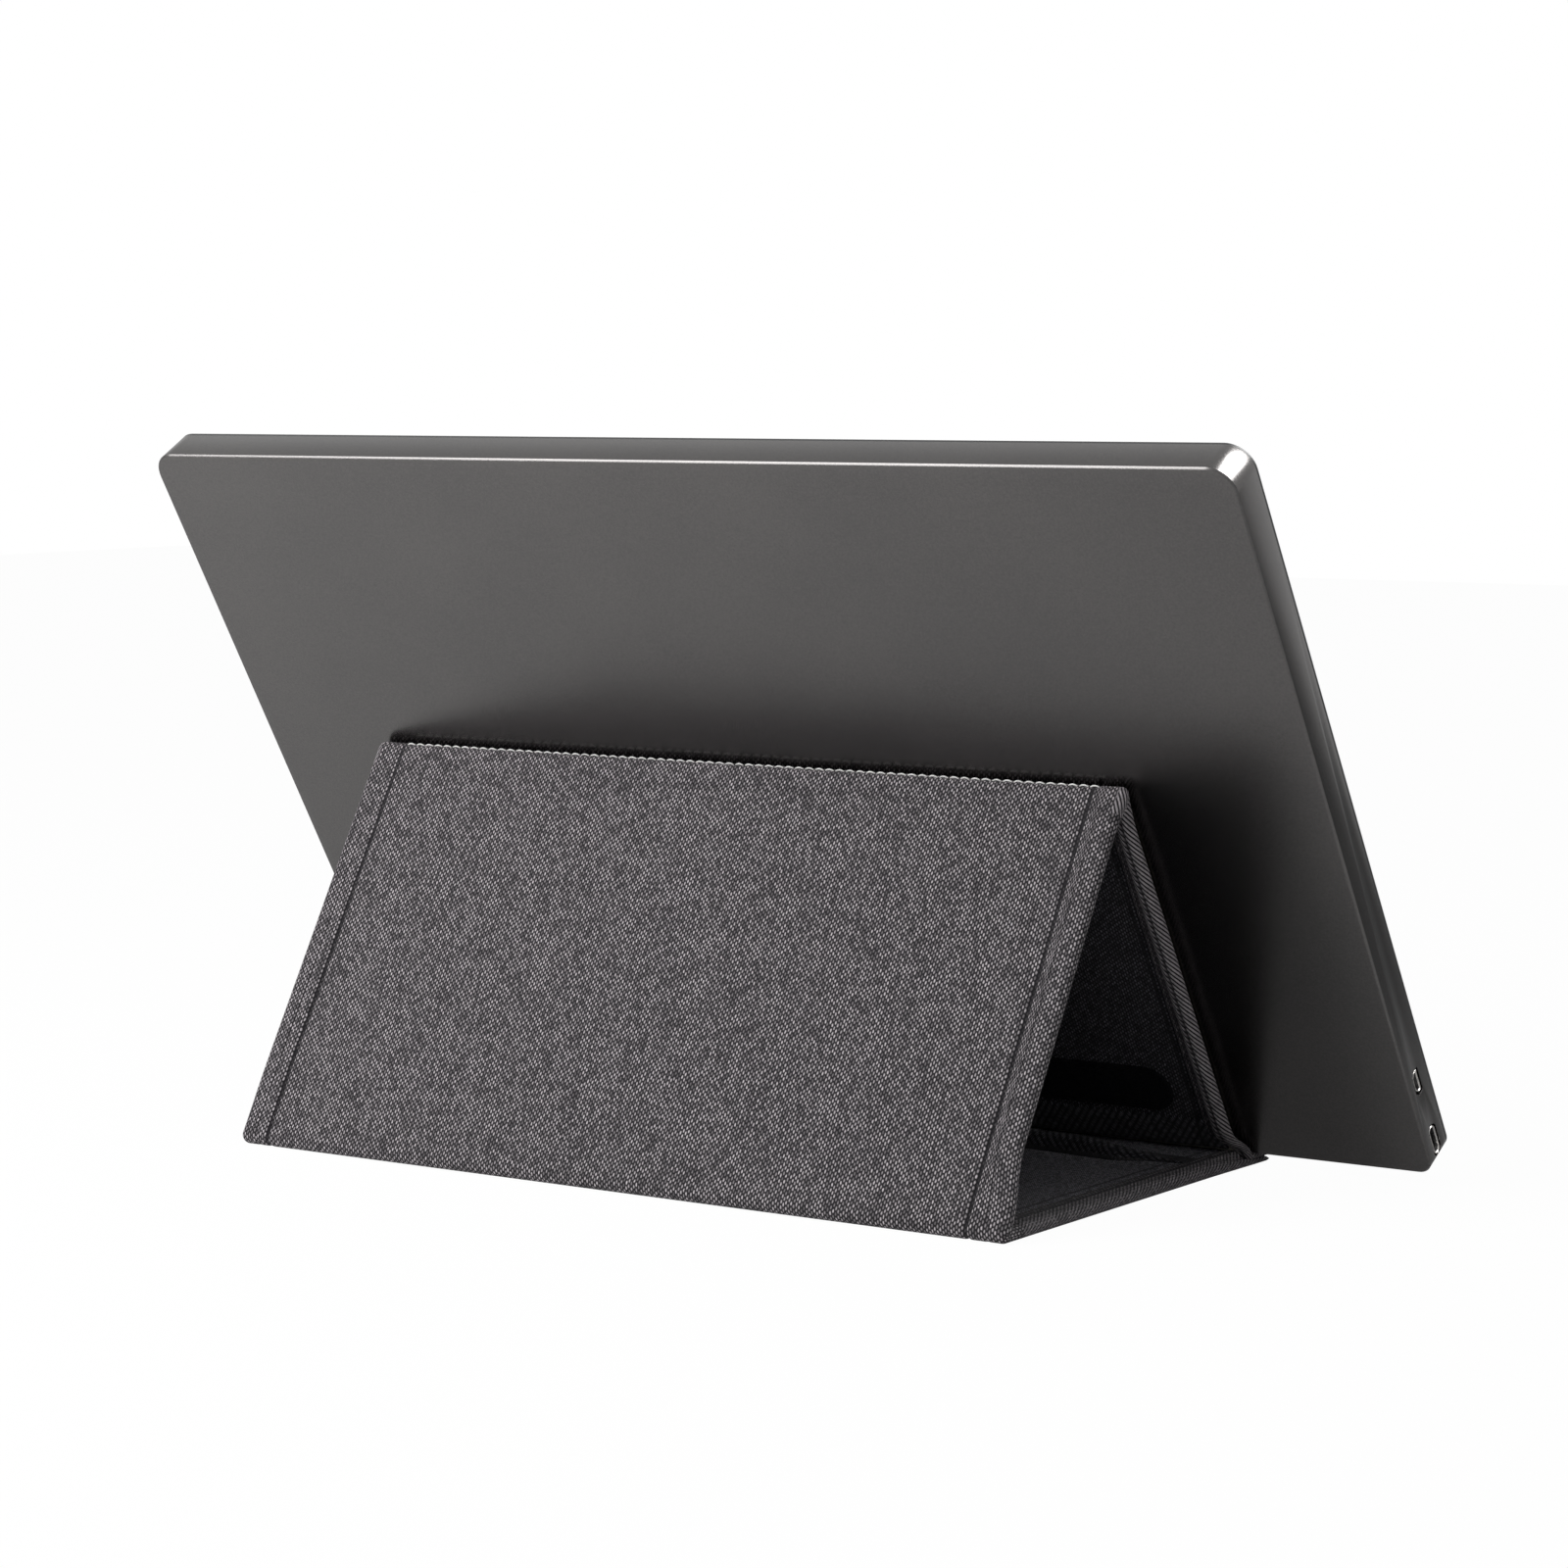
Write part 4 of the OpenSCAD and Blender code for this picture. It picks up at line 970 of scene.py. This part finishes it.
thread, wire, shader = new_material("white_thread", {"Roughness": 0.65,
                                                     "Sheen Weight": 0.2})
place = wire.node("TexCoord", output="Object")
ply = wire.node("TexWave", {"wave_type": "BANDS", "bands_direction": "DIAGONAL"},
                {"Vector": place, "Scale": 900.0, "Distortion": 1.2})
ply.tint(THREAD_SHADE, THREAD_WHITE).into(shader, "Base Color")
bump(ply, 0.00006).into(shader, "Normal")

sewing = bmesh.new()


def thread_ring(middle, skew, step):
    """One ring round a stitch's thread, on its arch from one end to the other."""
    part = step / ARCH_STEPS
    radius = THREAD_R * (THREAD_ENDS if step in (0, ARCH_STEPS) else 1)
    centre = apex + outward(RIDGE) * (OUT - ARCH_HIGH * (1 - math.sin(math.pi * part)))
    turns = [2 * math.pi * i / THREAD_SIDES for i in range(THREAD_SIDES)]
    return [sewing.verts.new(Vector((middle + STITCH * (part - 0.5),
                                     centre.x + skew * (1 - 2 * part) + radius * math.cos(turn),
                                     centre.y + radius * math.sin(turn))) * MM)
            for turn in turns]


for number in range(STITCHES):
    middle = FIRST_STITCH + number * STITCH_PITCH
    skew = 0.12 * noise.noise(Vector((number * 1.7, 0.3, 0.9)))
    rings = [thread_ring(middle, skew, step) for step in range(ARCH_STEPS + 1)]
    for ring, following in zip(rings, rings[1:]):
        for i in range(THREAD_SIDES):
            sewing.faces.new((ring[i - 1], ring[i], following[i], following[i - 1]))
    sewing.faces.new(rings[0])
    sewing.faces.new(rings[-1])
bmesh.ops.recalc_face_normals(sewing, faces=sewing.faces)
stitching = add_piece("top_fold_stitches", sewing, thread, nodes=["apex_stitching"],
                      smooth=60)
across_fold(stitching)

# The stiff boards inside the cover are grey pressed fibre, cut with square edges.
fibre_board = grained("fibre_board", (0.20, 0.185, 0.165, 1), (0.30, 0.28, 0.25, 1), 1400,
                      {"Specular IOR Level": 0.25}, 0.0001, (0.8, 0.12))


def dress(material, *nodes):
    """Gives CAD nodes that keep their shape their finish."""
    for node in nodes:
        slots = frame["nodes"][node].data.materials
        slots.clear()
        slots.append(material)


dress(fibre_board, "base_outer_board", "base_inner_board", "back_outer_board",
      "back_inner_board", "front_outer_board", "front_inner_board")

# The screen is a sheet of dark glass with a faint matt coat against reflections, held in the
# bezel by black foam tape.
screen_glass = grained("screen_glass", (0.006, 0.006, 0.008, 1), (0.008, 0.008, 0.011, 1), 900,
                       {"Coat Weight": 0.25, "Coat Roughness": 0.2}, 0.000004, (0.16, 0.06))
dress(screen_glass, "lcd_cell")
foam = grained("foam_tape", (0.012, 0.012, 0.012, 1), (0.03, 0.03, 0.03, 1), 2600,
               {"Specular IOR Level": 0.2}, 0.00008, (0.85, 0.1))
dress(foam, "bezel_tape", "mounting_tape")

# The backlight behind it is a stack: milky films, a clear acrylic guide with a row of small
# lamps along its lower edge, and a white film that throws the light forward.
milky_film = grained("milky_film", (0.74, 0.76, 0.78, 1), (0.82, 0.83, 0.84, 1), 1600,
                     {"Sheen Weight": 0.1}, 0.00001, (0.35, 0.1))
dress(milky_film, "optical_films")
clear_guide = grained("clear_guide", (0.80, 0.86, 0.88, 1), (0.88, 0.92, 0.93, 1), 1200,
                      {"Transmission Weight": 0.7, "IOR": 1.49}, 0.000006, (0.06, 0.05))
dress(clear_guide, "light_guide")
white_film = grained("white_film", (0.78, 0.78, 0.77, 1), (0.85, 0.85, 0.84, 1), 1800,
                     {"Specular IOR Level": 0.35}, 0.00001, (0.5, 0.12))
dress(white_film, "reflector_sheet")
LAMP_PITCH = 0.0062
lamp_row, wire, shader = new_material("lamp_row", {"Roughness": 0.4})
place = wire.node("TexCoord", output="Object")
across = wire.node("SeparateXYZ", inputs={"Vector": place}, output="X")
beat = across.maths("FRACT", across / LAMP_PITCH)
phosphor = (beat > 0.25) * (beat < 0.75)
(phosphor * (0.8 + 0.2 * grain(place, 2500))).tint(
    (0.55, 0.55, 0.53, 1), (0.85, 0.68, 0.16, 1)).into(shader, "Base Color")
dress(lamp_row, "led_strip")

# A frame of white plastic holds the stack, and a rolled steel plate closes its back.
frame_plastic = grained("frame_plastic", (0.66, 0.66, 0.64, 1), (0.74, 0.74, 0.72, 1), 2200, {},
                        0.00002, (0.45, 0.12))
dress(frame_plastic, "panel_frame")
rolled_steel, wire, shader = new_material("rolled_steel", {"Metallic": 1.0})
place = wire.node("TexCoord", output="Object")
drawn = grain(wire.node("Mapping", inputs={"Vector": place, "Scale": (0.04, 1, 1)}), 2400, 3)
drawn.between(0.3, 0.7).tint((0.40, 0.41, 0.42, 1), (0.56, 0.56, 0.56, 1)).into(
    shader, "Base Color")
(0.28 + 0.2 * drawn).into(shader, "Roughness")
bump(drawn, 0.000008, 0.5).into(shader, "Normal")
dress(rolled_steel, "panel_back_plate", "shield_can", "rocker_bracket", "rocker_pin",
      "board_screws")

# The circuit boards are green glass laminate, with copper tracks under the green lacquer, and
# the parts on them are moulded black or metal.
laminate, wire, shader = new_material("green_laminate", {"Roughness": 0.35})
place = wire.node("TexCoord", output="Object")
cells = wire.node("TexVoronoi", {"distance": "MANHATTAN", "feature": "DISTANCE_TO_EDGE"},
                  {"Vector": place, "Scale": 420.0})
tracks = 1 - cells.between(0.02, 0.07)
mask = tracks * grain(place, 90, 2).between(0.4, 0.55)
mask.tint((0.010, 0.075, 0.030, 1), (0.045, 0.20, 0.075, 1)).into(shader, "Base Color")
bump(mask, 0.00003).into(shader, "Normal")
dress(laminate, "main_board", "driver_board", "control_board")
moulded = grained("moulded_part", (0.010, 0.010, 0.010, 1), (0.022, 0.022, 0.022, 1), 3800, {},
                  0.00002, (0.5, 0.15))
dress(moulded, "video_chip", "power_parts", "tact_switches")
STRAND_PITCH = 0.0010
ribbon, wire, shader = new_material("ribbon_cable", {"Roughness": 0.4})
place = wire.node("TexCoord", output="Object")
across = wire.node("SeparateXYZ", inputs={"Vector": place}, output="X")
strands = across.maths("SINE", across * (2 * math.pi / STRAND_PITCH)) * 0.5 + 0.5
(strands.between(0.3, 0.7) * (0.7 + 0.3 * grain(place, 1500))).tint(
    (0.30, 0.17, 0.05, 1), (0.62, 0.42, 0.16, 1)).into(shader, "Base Color")
bump(strands, 0.00003).into(shader, "Normal")
dress(ribbon, "display_cable")
